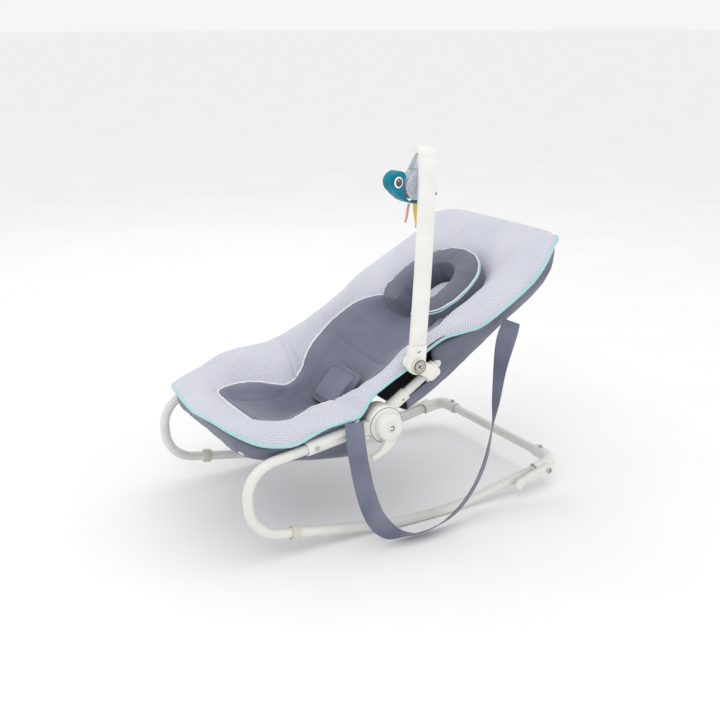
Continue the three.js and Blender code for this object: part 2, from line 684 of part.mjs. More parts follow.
function armBracket() {
  const [from, to] = BRACKET.clamp;
  const pivot = hubGroupPoint(ARM_PIVOT.x, ARM_PIVOT.z);
  const ring = bar(point(from, -BACK_TUBE_Y, 0), point(to, -BACK_TUBE_Y, 0), BACK_TUBE_R + 5.4, 20);
  const shape = new THREE.Shape();
  shape.absarc(pivot.x, pivot.z, 15, 0, Math.PI, false);
  shape.lineTo(from, 4);
  shape.quadraticCurveTo(from, -10, from + 10, -11);
  shape.lineTo(to - 8, -11);
  shape.quadraticCurveTo(to, -10, to, 0);
  shape.closePath();
  const wall = plate(shape, -1, BRACKET.near, BRACKET.far, 1.2);
  const boss = turned([[0, BRACKET.far - 3], [12, BRACKET.far - 3], [12, BRACKET.boss], [0, BRACKET.boss]],
    -1, pivot.x, pivot.z, 20);
  const tubeBore = bar(point(from - 5, -BACK_TUBE_Y, 0), point(to + 5, -BACK_TUBE_Y, 0),
    BACK_TUBE_R + 0.4, 20);
  const pinBore = bar(point(pivot.x, -190, pivot.z), point(pivot.x, -220, pivot.z), BORE_R, 16);
  return combine([ring, wall, boss], [tubeBore, pinBore]);
}

// A point of the X-Z plane in the backrest's own frame
function hubGroupPoint(x, z) {
  const local = point(x - HUB.x, 0, z - HUB.z);
  return local.applyAxisAngle(point(0, 1, 0), BACK_ANGLE);
}

const ARM = { y: 222, half: 18, thick: 3.6, block: 38, seam: 384, top: 402 };

function armBlock() {
  const shape = new THREE.Shape();
  shape.absarc(0, 0, ARM.half, Math.PI, 2 * Math.PI, false);
  shape.lineTo(ARM.half, ARM.block);
  shape.lineTo(-ARM.half, ARM.block);
  shape.closePath();
  const body = plate(shape, -1, BRACKET.boss + GAP, 229, 1.2, 10);
  const bore = bar(point(0, -205, 0), point(0, -240, 0), BORE_R, 16);
  return combine([body], [bore]);
}

// Side profile of the arm, as [|y|, height] of the middle of the strip
const inward = (height) => ARM.y - 20 * (height / ARM.seam) ** 2.4;

// A profile drawn in Y-Z and given width from -half to half along X
function profileSolid(points, half) {
  const geometry = new THREE.ExtrudeGeometry(new THREE.Shape(points), {
    depth: 2 * half, bevelEnabled: false,
  });
  geometry.rotateX(Math.PI / 2);
  geometry.rotateZ(Math.PI / 2);
  return geometry.translate(-half, 0, 0);
}

function profilePlate(middle, half, thick) {
  const curve = new THREE.SplineCurve(middle.map(([y, z]) => new THREE.Vector2(-y, z)));
  const count = middle.length * 2;
  const outer = [];
  const inner = [];
  for (let i = 0; i <= count; i++) {
    const p = curve.getPoint(i / count);
    const t = curve.getTangent(i / count);
    outer.push(new THREE.Vector2(p.x - t.y * thick, p.y + t.x * thick));
    inner.unshift(new THREE.Vector2(p.x + t.y * thick, p.y - t.x * thick));
  }
  return profileSolid([...outer, ...inner], half);
}

function armStrip() {
  const middle = [];
  const steps = 8;
  const from = ARM.block + GAP;
  for (let i = 0; i <= steps; i++) {
    const height = from + ((ARM.seam - SEAM_GAP - from) * i) / steps;
    middle.push([inward(height), height]);
  }
  return profilePlate(middle, ARM.half - 0.8, ARM.thick);
}

// Chunky end cap that reaches in over the seat; rows are [|y|, height]
function armCap() {
  const outer = inward(ARM.seam) + ARM.thick + 0.8;
  const rows = [[outer, ARM.seam], [outer - 0.5, ARM.seam + 10], [outer - 4, ARM.top - 3],
    [outer - 10, ARM.top], [outer - 22, ARM.top], [outer - 29, ARM.top - 3],
    [outer - 31, ARM.top - 9], [outer - 10, ARM.seam + 7], [outer - 9, ARM.seam]];
  return profileSolid(rows.map(([y, z]) => new THREE.Vector2(-y, z)), ARM.half);
}

function armKnob() {
  const near = 229 + GAP;
  return turned([[BORE_R, near], [15, near], [15, near + 6], [13.6, near + 7.4],
    [11.8, near + 7.4], [11.8, near + 3], [BORE_R, near + 3], [BORE_R, near]], -1, 0, 0, 28);
}

function armScrew() {
  const foot = BRACKET.near + 2;
  const head = 229 + GAP + 3 + GAP;
  return turned([[0, foot], [BOLT_R, foot], [BOLT_R, head], [8.6, head], [8, head + 3.4], [0, head + 3.4]],
    -1, 0, 0, 20);
}

// Hanging toy: a bird with a teal body, a round grey wing and ribbons
const TOY_HALF = 15;

function toyPlate(shape, half, bevel = 0) {
  return plate(shape, -1, -half, half, bevel, 6);
}

function toyBody() {
  const points = [[-40, 34], [-54, 27], [-61, 12], [-55, -2], [-42, -14], [-24, -26], [2, -33],
    [34, -31], [54, -24], [60, -17], [40, -5], [30, -15.5], [15, -26], [0, -28], [-14, -23],
    [-25, -9], [-27, 6], [-20, 17], [-21, 25], [-30, 32]];
  return toyPlate(smoothOutline(points), TOY_HALF);
}

function toyWing() {
  const points = [[-25.4, 2], [-21, -11], [-12, -21], [0, -26], [14, -23], [28, -12], [41, 2],
    [48, 20], [37, 44], [18, 40], [-6, 25], [-18, 15]];
  return toyPlate(smoothOutline(points), TOY_HALF + 1);
}

function toyEye(side) {
  return turned([[0, TOY_HALF + GAP], [10.5, TOY_HALF + GAP], [10, TOY_HALF + 1.8], [0, TOY_HALF + 1.8]],
    side, -45, 12, 18);
}

function toyRibbon(points, y) {
  return plate(outline(points), -1, y - 0.5, y + 0.5);
}
const yellowRibbon = () => toyRibbon([[5, -35], [23, -35], [31, -79], [24, -74], [14, -79]], 0);
const pinkRibbon = () => toyRibbon([[-4, -34.5], [3, -35], [-5, -68], [-12, -67]], 3);
const tailTag = () => toyRibbon([[49, 8], [62, 5], [58, -8], [46, -2]], 2);

// Loop that the bird hangs by: rows are share of the way out to the arm cap, height, half width
function toyStrap() {
  const centre = -1.6; // straight above the toy's centre of gravity
  const slant = TOY_HANG.y - TOY_Y;
  const rings = [[0, 33, 6.5], [0.6, 49, 6.5], [1, 61, 3]].map(([share, z, half]) =>
    [[-half, -1.2], [half, -1.2], [half, 1.2], [-half, 1.2]].map(([dx, dy]) =>
      point(centre + dx, slant * share + dy, z)));
  return skin(rings);
}

// Assembly
for (const [name, side] of SIDES) {
  addPiece(`base_tube_${name}`, baseTube(side), PAINT);
  addPiece(`rear_elbow_${name}`, rearElbow(side), PLASTIC);
  addPiece(`elbow_screw_${name}`, elbowScrew(side), STEEL);
  addPiece(`front_foot_ring_${name}`, footRing(side), CREAM);
  addPiece(`stand_leg_${name}`, standLeg(side), PLASTIC);
  addPiece(`stand_screw_${name}`, standScrew(side), STEEL);
  addPiece(`hub_base_${name}`, hubBase(side), PLASTIC);
  addPiece(`sleeve_screw_${name}`, sleeveScrew(side), STEEL);
  addPiece(`hub_back_${name}`, hubBack(side), PLASTIC, hubGroup);
  addPiece(`lock_gear_${name}`, lockGear(side), STEEL);
  addPiece(`pivot_bolt_${name}`, pivotBolt(side), STEEL);
  addPiece(`recline_lever_${name}`, reclineLever(side), PLASTIC);
  addPiece(`lever_cap_${name}`, leverCap(side), PLASTIC);
  addPiece(`waist_strap_${name}`, waistStrap(side), DARK);
  addPiece(`carry_strap_${name}`, carryStrap(side), GREY);
  addPiece(`toy_eye_${name}`, toyEye(side), WHITE, toyGroup);
}
addPiece("rear_cross_tube", crossTube(), PAINT);
addPiece("seat_front_tube", seatTube(), PAINT);
addPiece("leg_pad", legPad(), LIGHT);
addPiece("leg_sling", legSling(), GREY);
addPiece("crotch_flap", crotchFlap(), GREY);
addPiece("waist_buckle", buckle(), DARK);
addPiece("backrest_tube", backTube(), PAINT, hubGroup);
addPiece("back_pad", backPad(), LIGHT, hubGroup);
addPiece("back_sling", backSling(), GREY, hubGroup);
addPiece("head_ring", headRing(), GREY, hubGroup);
addPiece("head_pad", headPad(), LIGHT, hubGroup);
addPiece("arm_bracket", armBracket(), WHITE, hubGroup);
addPiece("arm_block", armBlock(), WHITE, armGroup);
addPiece("arm_strip", armStrip(), WHITE, armGroup);
addPiece("arm_tip_cap", armCap(), WHITE, armGroup);
addPiece("arm_knob", armKnob(), CREAM, armGroup);
addPiece("arm_screw", armScrew(), STEEL, armGroup);
addPiece("toy_strap", toyStrap(), WING, toyGroup);
addPiece("toy_body", toyBody(), TEAL, toyGroup);
addPiece("toy_wing", toyWing(), WING, toyGroup);
addPiece("toy_tail_tag", tailTag(), WHITE, toyGroup);
addPiece("toy_ribbon_yellow", yellowRibbon(), YELLOW, toyGroup);
addPiece("toy_ribbon_pink", pinkRibbon(), PINK, toyGroup);

export default seat;
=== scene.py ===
# Looks of the baby bouncer seat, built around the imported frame. Lengths in tables are millimetres.
import math

import bmesh
import bpy
import numpy as np
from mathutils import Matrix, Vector, noise
from mathutils.bvhtree import BVHTree


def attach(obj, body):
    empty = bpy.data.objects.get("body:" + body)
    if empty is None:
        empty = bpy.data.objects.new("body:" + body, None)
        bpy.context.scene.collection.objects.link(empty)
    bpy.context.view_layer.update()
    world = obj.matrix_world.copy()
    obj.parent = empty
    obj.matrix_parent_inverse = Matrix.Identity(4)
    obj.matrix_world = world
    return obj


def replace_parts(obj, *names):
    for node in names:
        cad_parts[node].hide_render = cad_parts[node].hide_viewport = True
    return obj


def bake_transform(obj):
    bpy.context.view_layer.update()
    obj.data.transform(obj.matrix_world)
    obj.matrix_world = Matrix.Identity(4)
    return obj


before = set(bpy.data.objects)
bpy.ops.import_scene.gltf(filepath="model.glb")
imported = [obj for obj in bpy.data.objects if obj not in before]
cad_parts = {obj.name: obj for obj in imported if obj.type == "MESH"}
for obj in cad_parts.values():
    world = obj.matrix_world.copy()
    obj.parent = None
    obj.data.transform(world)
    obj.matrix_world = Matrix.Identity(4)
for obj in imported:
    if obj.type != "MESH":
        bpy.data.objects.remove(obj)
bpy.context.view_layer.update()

MM = 0.001
SIDES = (("left", -1), ("right", 1))
HUB = np.array([-90.0, 228.0])  # recline axis in X and Z
BACK_ANGLE = math.radians(33)
RAIL_Y, TUBE_R = 210, 10
SEAT_TUBE_Y, SEAT_TUBE_R = 187, 8
BACK_TUBE_Y, BACK_TUBE_R = 190, 9
BACK_LENGTH = 515
ARM_PIVOT = (-24, 335)
ARM_LEAN = math.radians(4.6)
STAND_PIVOT = (308, 50)
TOY_CENTRE = (-7.3, -170, 663)
TOY_YAW = math.radians(10)
FLAP_PLACE, FLAP_TILT = (-73.4, 0, 233.6), math.radians(45)


# ---------------------------------------------------------------- small helpers
def spline(rows, count, closed=False):
    """Evenly spaced points on a smooth curve through rows, as a count x n array."""
    pts = np.array(rows, float)
    if closed:
        ext = np.vstack([pts[-1], pts, pts[0], pts[1]])
    else:
        ext = np.vstack([2 * pts[0] - pts[1], pts, 2 * pts[-1] - pts[-2]])
    fine, steps = [], 24
    for i in range(len(ext) - 3):
        p0, p1, p2, p3 = ext[i:i + 4]
        for t in np.arange(steps) / steps:
            fine.append(0.5 * (2 * p1 + (p2 - p0) * t + (2 * p0 - 5 * p1 + 4 * p2 - p3) * t ** 2
                               + (3 * p1 - p0 - 3 * p2 + p3) * t ** 3))
    fine.append(ext[-2])
    fine = np.array(fine)
    lengths = np.concatenate([[0], np.cumsum(np.linalg.norm(np.diff(fine, axis=0), axis=1))])
    want = np.linspace(0, lengths[-1], count + 1 if closed else count)
    if closed:
        want = want[:-1]
    return np.stack([np.interp(want, lengths, fine[:, k]) for k in range(fine.shape[1])], axis=1)


def along(table, at):
    """Smooth value of a two-column table at the given stations."""
    curve = spline(table, 400)
    order = np.argsort(curve[:, 0])
    return np.interp(at, curve[order, 0], curve[order, 1])


def smoothstep(x):
    x = np.clip(x, 0, 1)
    return x * x * (3 - 2 * x)


def new_object(name, verts, faces, materials, uvs=None, face_material=None, merge=0.0):
    """A smooth-shaded mesh object; verts in millimetres."""
    mesh = bpy.data.meshes.new(name)
    mesh.from_pydata([tuple(v) for v in np.asarray(verts) * MM], [], [tuple(map(int, f)) for f in faces])
    for material in materials:
        mesh.materials.append(material)
    if uvs is not None:
        layer = mesh.uv_layers.new(name="UVMap")
        corner = np.empty(len(mesh.loops), int)
        mesh.loops.foreach_get("vertex_index", corner)
        layer.data.foreach_set("uv", np.asarray(uvs, float)[corner].ravel())
    if face_material is not None:
        mesh.polygons.foreach_set("material_index", face_material)
    mesh.polygons.foreach_set("use_smooth", [True] * len(mesh.polygons))
    tidy = bmesh.new()
    tidy.from_mesh(mesh)
    if merge:
        bmesh.ops.remove_doubles(tidy, verts=tidy.verts, dist=merge * MM)
        bmesh.ops.dissolve_degenerate(tidy, edges=tidy.edges, dist=1e-6)
    bmesh.ops.recalc_face_normals(tidy, faces=tidy.faces)
    tidy.to_mesh(mesh)
    tidy.free()
    made = bpy.data.objects.new(name, mesh)
    bpy.context.scene.collection.objects.link(made)
    return made


def grid_faces(rows, cols, wrap_rows=False, wrap_cols=False, offset=0):
    faces = []
    for r in range(rows if wrap_rows else rows - 1):
        for c in range(cols if wrap_cols else cols - 1):
            a, b = r * cols + c, r * cols + (c + 1) % cols
            d, e = ((r + 1) % rows) * cols + c, ((r + 1) % rows) * cols + (c + 1) % cols
            faces.append((a + offset, b + offset, e + offset, d + offset))
    return faces


def frames_along(path, closed):
    """Tangent and two steady cross directions at each point of a path."""
    if closed:
        tangent = np.roll(path, -1, axis=0) - np.roll(path, 1, axis=0)
    else:
        tangent = np.gradient(path, axis=0)
    tangent /= np.linalg.norm(tangent, axis=1)[:, None]
    side = np.cross(tangent[0], [0.31, 0.17, 0.93])
    side /= np.linalg.norm(side)
    sides = []
    for t in tangent:
        side = side - t * (side @ t)
        side = side / np.linalg.norm(side)
        sides.append(side)
    sides = np.array(sides)
    return tangent, sides, np.cross(tangent, sides)


def tube(name, path, radius, material, closed=False, sides=12):
    """A round tube along a path in millimetres."""
    path = np.asarray(path, float)
    _, u, v = frames_along(path, closed)
    angle = np.linspace(0, 2 * math.pi, sides, endpoint=False)
    rings = (path[:, None] + radius * (np.cos(angle)[None, :, None] * u[:, None]
                                       + np.sin(angle)[None, :, None] * v[:, None]))
    verts = rings.reshape(-1, 3)
    faces = grid_faces(len(path), sides, wrap_rows=closed, wrap_cols=True)
    if not closed:
        last = len(verts)
        verts = np.vstack([verts, path[0], path[-1]])
        for k in range(sides):
            faces.append((last, (k + 1) % sides, k))
            faces.append((last + 1, last - sides + k, last - sides + (k + 1) % sides))
    run = np.concatenate([[0], np.cumsum(np.linalg.norm(np.diff(path, axis=0), axis=1))]) * MM
    uvs = np.stack([np.repeat(run, sides), np.tile(angle * radius * MM, len(path))], axis=1)
    if not closed:
        uvs = np.vstack([uvs, [0, 0], [run[-1], 0]])
    return new_object(name, verts, faces, [material], uvs)


def ribbon(name, path, widths, half, thick, material, crown=0.0):
    """Flat webbing along a path, with its width direction given at each point and rounded edges."""
    path, wide = np.asarray(path, float), np.asarray(widths, float)
    tangent = np.gradient(path, axis=0)
    tangent /= np.linalg.norm(tangent, axis=1)[:, None]
    wide = wide - tangent * np.sum(wide * tangent, axis=1)[:, None]
    wide /= np.linalg.norm(wide, axis=1)[:, None]
    up = np.cross(tangent, wide)
    across = [-1, -0.97, -0.85, -0.5, 0, 0.5, 0.85, 0.97, 1]
    lift = [0, 0.75, 1, 0.9, 0.85, 0.9, 1, 0.75, 0]
    section = [(a, h) for a, h in zip(across, lift)]
    section += [(a, -h) for a, h in zip(across[-2:0:-1], lift[-2:0:-1])]
    half = np.broadcast_to(half, len(path))
    verts, uvs = [], []
    run = np.concatenate([[0], np.cumsum(np.linalg.norm(np.diff(path, axis=0), axis=1))])
    for i, p in enumerate(path):
        for a, h in section:
            bow = crown * (1 - a * a)
            verts.append(p + wide[i] * a * half[i] + up[i] * (h * thick + bow))
            uvs.append((run[i] * MM, a * half[i] * MM))
    n = len(section)
    faces = grid_faces(len(path), n, wrap_cols=True)
    faces.append(tuple(range(n))[::-1])
    faces.append(tuple(range(len(verts) - n, len(verts))))
    return new_object(name, verts, faces, [material], uvs)


def subdivide(obj, levels=1):
    modifier = obj.modifiers.new("smooth", "SUBSURF")
    modifier.levels = levels
    modifier.render_levels = levels


def wave(p, size, seed=0.0):
    """Soft noise between -1 and 1 at a place in millimetres."""
    return noise.noise(Vector((p[0] / size + seed, p[1] / size - seed, p[2] / size + 2 * seed)))


# ---------------------------------------------------------------- materials
class Surface:
    """A Principled material with helpers for the nodes that this file uses."""

    def __init__(self, name, roughness=0.8, **inputs):
        self.material = bpy.data.materials.new(name)
        self.material.use_nodes = True
        self.nodes = self.material.node_tree.nodes
        self.links = self.material.node_tree.links
        self.shader = self.nodes["Principled BSDF"]
        self.shader.inputs["Roughness"].default_value = roughness
        for key, value in inputs.items():
            self.shader.inputs[key.replace("_", " ")].default_value = value
        self.coords = self.nodes.new("ShaderNodeTexCoord")
        self.height = None

    def plug(self, value, socket):
        if hasattr(value, "is_output"):
            self.links.new(value, socket)
        else:
            socket.default_value = value

    def math(self, operation, a, b=0.0, clamp=False):
        node = self.nodes.new("ShaderNodeMath")
        node.operation, node.use_clamp = operation, clamp
        self.plug(a, node.inputs[0])
        self.plug(b, node.inputs[1])
        return node.outputs[0]

    def scaled(self, scale, source="Object", turn=(0, 0, 0)):
        node = self.nodes.new("ShaderNodeMapping")
        node.inputs["Scale"].default_value = scale
        node.inputs["Rotation"].default_value = turn
        self.links.new(self.coords.outputs[source], node.inputs["Vector"])
        return node.outputs[0]

    def noise(self, scale, detail=2.0, vector=None, rough=0.5):
        node = self.nodes.new("ShaderNodeTexNoise")
        node.inputs["Scale"].default_value = scale
        node.inputs["Detail"].default_value = detail
        node.inputs["Roughness"].default_value = rough
        self.links.new(vector or self.coords.outputs["Object"], node.inputs["Vector"])
        return node.outputs["Fac"]

    def cells(self, scale, vector=None, randomness=0.35, dimensions="3D", output="Distance"):
        node = self.nodes.new("ShaderNodeTexVoronoi")
        node.voronoi_dimensions = dimensions
        node.inputs["Scale"].default_value = scale
        node.inputs["Randomness"].default_value = randomness
        self.links.new(vector or self.coords.outputs["Object"], node.inputs["Vector"])
        return node.outputs[output]

    def ramp(self, fac, low, high, a=0.0, b=1.0):
        node = self.nodes.new("ShaderNodeMapRange")
        node.inputs["From Min"].default_value = a
        node.inputs["From Max"].default_value = b
        node.inputs["To Min"].default_value = low
        node.inputs["To Max"].default_value = high
        self.links.new(fac, node.inputs["Value"])
        return node.outputs[0]

    def mix(self, fac, a, b):
        node = self.nodes.new("ShaderNodeMix")
        node.data_type = "RGBA"
        self.plug(fac, node.inputs["Factor"])
        self.plug(a, node.inputs[6])
        self.plug(b, node.inputs[7])
        return node.outputs[2]

    def colour(self, value):
        self.plug(value, self.shader.inputs["Base Color"])

    def rough(self, value):
        self.plug(value, self.shader.inputs["Roughness"])

    def relief(self, height, strength, distance):
        node = self.nodes.new("ShaderNodeBump")
        node.inputs["Strength"].default_value = strength
        node.inputs["Distance"].default_value = distance
        self.links.new(height, node.inputs["Height"])
        if self.height is not None:
            self.links.new(self.height, node.inputs["Normal"])
        self.height = node.outputs[0]
        self.links.new(self.height, self.shader.inputs["Normal"])


def rgb(red, green, blue):
    """An sRGB colour out of 255 as linear RGBA."""
    def linear(v):
        v /= 255
        return v / 12.92 if v <= 0.04045 else ((v + 0.055) / 1.055) ** 2.4
    return (linear(red), linear(green), linear(blue), 1.0)


def woven(name, base, dark, weave=1100, sheen=0.25, roughness=0.85, relief=0.35):
    """Plain woven polyester: fine cells for the weave, with painted shade darkening each cell towards its
    edge between the threads, and soft mottling.
    """
    s = Surface(name, roughness, Sheen_Weight=sheen, Sheen_Roughness=0.45, Specular_IOR_Level=0.25)
    mottled = s.mix(s.ramp(s.noise(14, 3), 0, 1, 0.3, 0.7), dark, base)
    threads = s.cells(weave)
    slub = s.noise(420, 2, s.scaled((1, 3.5, 1)))
    # Painted shade: each thread cell is darkened towards its edges, in the gaps between the threads.
    shade = s.mix(s.ramp(threads, 0.0, 0.45, 0.0, 0.7), mottled, dark)
    pale = tuple(min(1, c * 1.18) for c in base[:3]) + (1,)
    s.colour(s.mix(s.ramp(slub, 0.0, 0.35, 0.55, 0.8), shade, pale))
    s.relief(s.noise(70, 3), 0.18, 0.0012)
    s.relief(threads, relief, 0.0004)
    return s.material


def dotted(name, base, dark, dot_a, dot_b, pitch=0.0052):
    """Light cotton with a small triangular lattice of printed dots, laid out on the UV map in metres."""
    s = Surface(name, 0.9, Sheen_Weight=0.2, Sheen_Roughness=0.5, Specular_IOR_Level=0.2)
    split = s.nodes.new("ShaderNodeSeparateXYZ")
    s.links.new(s.coords.outputs["UV"], split.inputs[0])
    row = s.math("DIVIDE", split.outputs[1], pitch * 0.866)
    shift = s.math("MULTIPLY", s.math("FLOORED_MODULO", s.math("FLOOR", row), 2.0), 0.5)
    column = s.math("ADD", s.math("DIVIDE", split.outputs[0], pitch), shift)
    dx = s.math("SUBTRACT", s.math("FRACT", column), 0.5)
    dy = s.math("MULTIPLY", s.math("SUBTRACT", s.math("FRACT", row), 0.5), 0.866)
    squared = s.math("ADD", s.math("MULTIPLY", dx, dx), s.math("MULTIPLY", dy, dy))
    distance = s.math("SQRT", squared)
    spot = s.ramp(distance, 1.0, 0.0, 0.17, 0.27)
    spot.node.clamp = True
    bar = s.ramp(s.math("ABSOLUTE", dy), 1.0, 0.0, 0.02, 0.08)
    bar.node.clamp = True
    choice = s.math("FLOORED_MODULO", s.math("ADD", s.math("FLOOR", column), s.math("FLOOR", row)), 3.0)
    ink = s.mix(s.math("LESS_THAN", choice, 0.5), dot_b, dot_a)
    mottled = s.mix(s.ramp(s.noise(11, 3), 0, 1, 0.3, 0.7), dark, base)
    lined = s.mix(s.math("MULTIPLY", bar, 0.22), mottled, dot_b)
    s.colour(s.mix(s.math("MULTIPLY", spot, 0.9), lined, ink))
    s.relief(s.noise(60, 3), 0.2, 0.0015)
    s.relief(s.cells(1000), 0.3, 0.0004)
    return s.material


def moulded(name, base, dark, roughness, grain=900, coat=0.0):
    """Moulded plastic or rubber: fine grain, faint flow marks and slightly duller scuffs."""
    s = Surface(name, roughness, Coat_Weight=coat, Coat_Roughness=0.25)
    s.colour(s.mix(s.ramp(s.noise(22, 4), 0, 1, 0.35, 0.75), base, dark))
    s.rough(s.ramp(s.noise(45, 3), roughness - 0.07, roughness + 0.1, 0.3, 0.7))
    s.relief(s.noise(grain, 2), 0.12, 0.0003)
    s.relief(s.noise(35, 2), 0.05, 0.001)
    return s.material


def painted(name, base, dark):
    """Powder-coated tube: light orange peel, slightly darker where the coat is thin."""
    s = Surface(name, 0.33, Coat_Weight=0.35, Coat_Roughness=0.2)
    s.colour(s.mix(s.ramp(s.noise(16, 4), 0, 1, 0.4, 0.8), base, dark))
    s.rough(s.ramp(s.noise(60, 3), 0.27, 0.42, 0.3, 0.7))
    s.relief(s.noise(260, 2), 0.10, 0.0005)
    return s.material


def zinc(name):
    s = Surface(name, 0.35, Metallic=1.0)
    s.colour(s.mix(s.noise(90, 4), rgb(178, 180, 184), rgb(214, 214, 212)))
    s.rough(s.ramp(s.noise(300, 3), 0.25, 0.5, 0.3, 0.7))
    s.relief(s.noise(700, 2, s.scaled((1, 6, 1))), 0.15, 0.0003)
    return s.material


def webbing(name, base, dark, rib=0.0016):
    """Woven strap on a UV map in metres: chevron ribs along the run, with painted shade in the rib valleys.
    """
    s = Surface(name, 0.8, Sheen_Weight=0.2, Sheen_Roughness=0.4, Specular_IOR_Level=0.3)
    split = s.nodes.new("ShaderNodeSeparateXYZ")
    s.links.new(s.coords.outputs["UV"], split.inputs[0])
    slant = s.math("ABSOLUTE", s.math("SUBTRACT", s.math("PINGPONG", split.outputs[1], 0.003), 0.0015))
    ribs = s.math("PINGPONG", s.math("ADD", split.outputs[0], slant), rib / 2)
    height = s.math("DIVIDE", ribs, rib / 2)
    tone = s.mix(s.ramp(s.noise(18, 3), 0, 1, 0.3, 0.7), dark, base)
    # Painted shade: the low parts of the ribs are darkened.
    s.colour(s.mix(s.ramp(height, 0.35, 0.0, 0.0, 0.5), tone, dark))
    s.relief(height, 0.4, 0.0004)
    s.relief(s.noise(90, 2), 0.15, 0.001)
    return s.material


def plush(name, base, dark, streaks=None, sheen=0.5):
    """Short-pile toy fabric; streaks gives the heather of a marled knit."""
    s = Surface(name, 0.9, Sheen_Weight=sheen, Sheen_Roughness=0.35, Specular_IOR_Level=0.2)
    tone = s.mix(s.ramp(s.noise(60, 4), 0, 1, 0.3, 0.7), dark, base)
    if streaks:
        lines = s.noise(130, 3, s.scaled((1, 1, 7), turn=(0, 0.5, 0)))
        tone = s.mix(s.ramp(lines, 0, 1, 0.46, 0.66), tone, streaks)
    s.colour(tone)
    s.relief(s.noise(900, 2), 0.35, 0.0006)
    s.relief(s.noise(150, 2), 0.2, 0.001)
    return s.material


LIGHT_BASE, LIGHT_DARK = rgb(216, 219, 227), rgb(205, 209, 219)
SLATE, SLATE_DARK = rgb(128, 131, 148), rgb(110, 113, 131)
M_LIGHT = dotted("light_dotted_cotton", LIGHT_BASE, LIGHT_DARK, rgb(196, 158, 176), rgb(146, 152, 176))
M_SLATE = woven("slate_polyester", SLATE, SLATE_DARK)
M_RING = woven("slate_polyester_ring", rgb(116, 119, 135), rgb(98, 101, 118))
M_SLING = woven("slate_sling", rgb(122, 125, 141), rgb(104, 107, 124))
M_BACKING = woven("charcoal_mesh", rgb(58, 59, 64), rgb(36, 37, 42), weave=500, relief=0.6)
M_TURQUOISE = woven("turquoise_binding", rgb(186, 222, 226), rgb(166, 208, 214), weave=1400)
M_WHITE_PIPE = woven("white_piping", rgb(244, 245, 248), rgb(226, 228, 234), weave=1400)
M_THREAD = woven("grey_thread", rgb(96, 99, 114), rgb(80, 83, 98), weave=1800)
M_WEBBING = webbing("slate_webbing", rgb(128, 132, 150), rgb(104, 108, 127))
M_DARK_WEB = webbing("charcoal_webbing", rgb(62, 64, 70), rgb(40, 41, 46))
M_PAINT = painted("frame_powder_coat", rgb(226, 226, 221), rgb(212, 213, 207))
M_PLASTIC = moulded("white_moulding", rgb(233, 232, 227), rgb(222, 221, 215), 0.42)
M_ARM = moulded("arm_moulding", rgb(240, 239, 235), rgb(230, 229, 224), 0.38, coat=0.2)
M_RUBBER = moulded("cream_rubber", rgb(214, 210, 197), rgb(198, 193, 178), 0.65, grain=600)
M_CREAM = moulded("cream_knob", rgb(226, 221, 205), rgb(206, 200, 182), 0.5)
M_STEEL = zinc("zinc_steel")
M_DARK = moulded("dark_plastic", rgb(52, 53, 57), rgb(38, 39, 43), 0.5)
# Dark lines laid along grooves, seams and screw recesses: this colour is painted shade in those hollows.
M_GROOVE_SHADE = moulded("shadow_groove", rgb(70, 69, 66), rgb(54, 53, 50), 0.7)
M_TEAL = plush("teal_velour", rgb(12, 136, 160), rgb(6, 112, 138))
M_WING = plush("grey_marl", rgb(190, 197, 206), rgb(172, 180, 191), streaks=rgb(222, 226, 231), sheen=0.3)
M_WING_EDGE = plush("pale_wing_edge", rgb(222, 228, 232), rgb(206, 213, 219), sheen=0.2)
M_YELLOW = webbing("yellow_ribbon", rgb(240, 218, 112), rgb(226, 200, 90), rib=0.0009)
M_PINK = webbing("pink_ribbon", rgb(244, 184, 178), rgb(232, 164, 160), rib=0.0009)
M_EYE_WHITE = moulded("eye_white", rgb(246, 246, 244), rgb(234, 235, 236), 0.5)
M_EYE_DARK = moulded("eye_iris", rgb(70, 62, 70), rgb(44, 38, 46), 0.25, coat=0.6)

NODE_MATERIALS = {
    "rear_elbow": M_PLASTIC, "stand_leg": M_PLASTIC, "hub_base": M_PLASTIC, "hub_back": M_PLASTIC,
    "recline_lever": M_PLASTIC, "lever_cap": M_PLASTIC, "front_foot_ring": M_RUBBER,
    "elbow_screw": M_STEEL, "stand_screw": M_STEEL, "sleeve_screw": M_STEEL, "pivot_bolt": M_STEEL,
    "lock_gear": M_STEEL, "arm_bracket": M_ARM, "arm_block": M_ARM, "arm_strip": M_ARM, "arm_tip_cap": M_ARM,
    "arm_knob": M_CREAM, "arm_screw": M_STEEL, "waist_buckle": M_DARK, "rear_cross_tube": M_PAINT,
}


def finish_node(name, material):
    """A CAD node that stays: welded and softly rounded by modifiers, with its own material."""
    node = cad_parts[name]
    node.data.materials.clear()
    node.data.materials.append(material)
    node.data.polygons.foreach_set("use_smooth", [True] * len(node.data.polygons))
    weld = node.modifiers.new("weld", "WELD")
    weld.merge_threshold = 0.00002
    bevel = node.modifiers.new("edges", "BEVEL")
    bevel.width = 0.0007
    bevel.segments = 2
    bevel.limit_method = "ANGLE"
    bevel.angle_limit = math.radians(38)
    bevel.harden_normals = True


for node_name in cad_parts:
    stem = node_name.replace("_left", "").replace("_right", "")
    if stem in NODE_MATERIALS:
        finish_node(node_name, NODE_MATERIALS[stem])


# ---------------------------------------------------------------- liner shape
# The liner is laid out by station s (mm along the seat from the recline axis), y and height h.
FOLD_START, FOLD_END = -50, 70
CREST_SHARE = 0.30  # where the crest lies, as a share of the way in from the rim


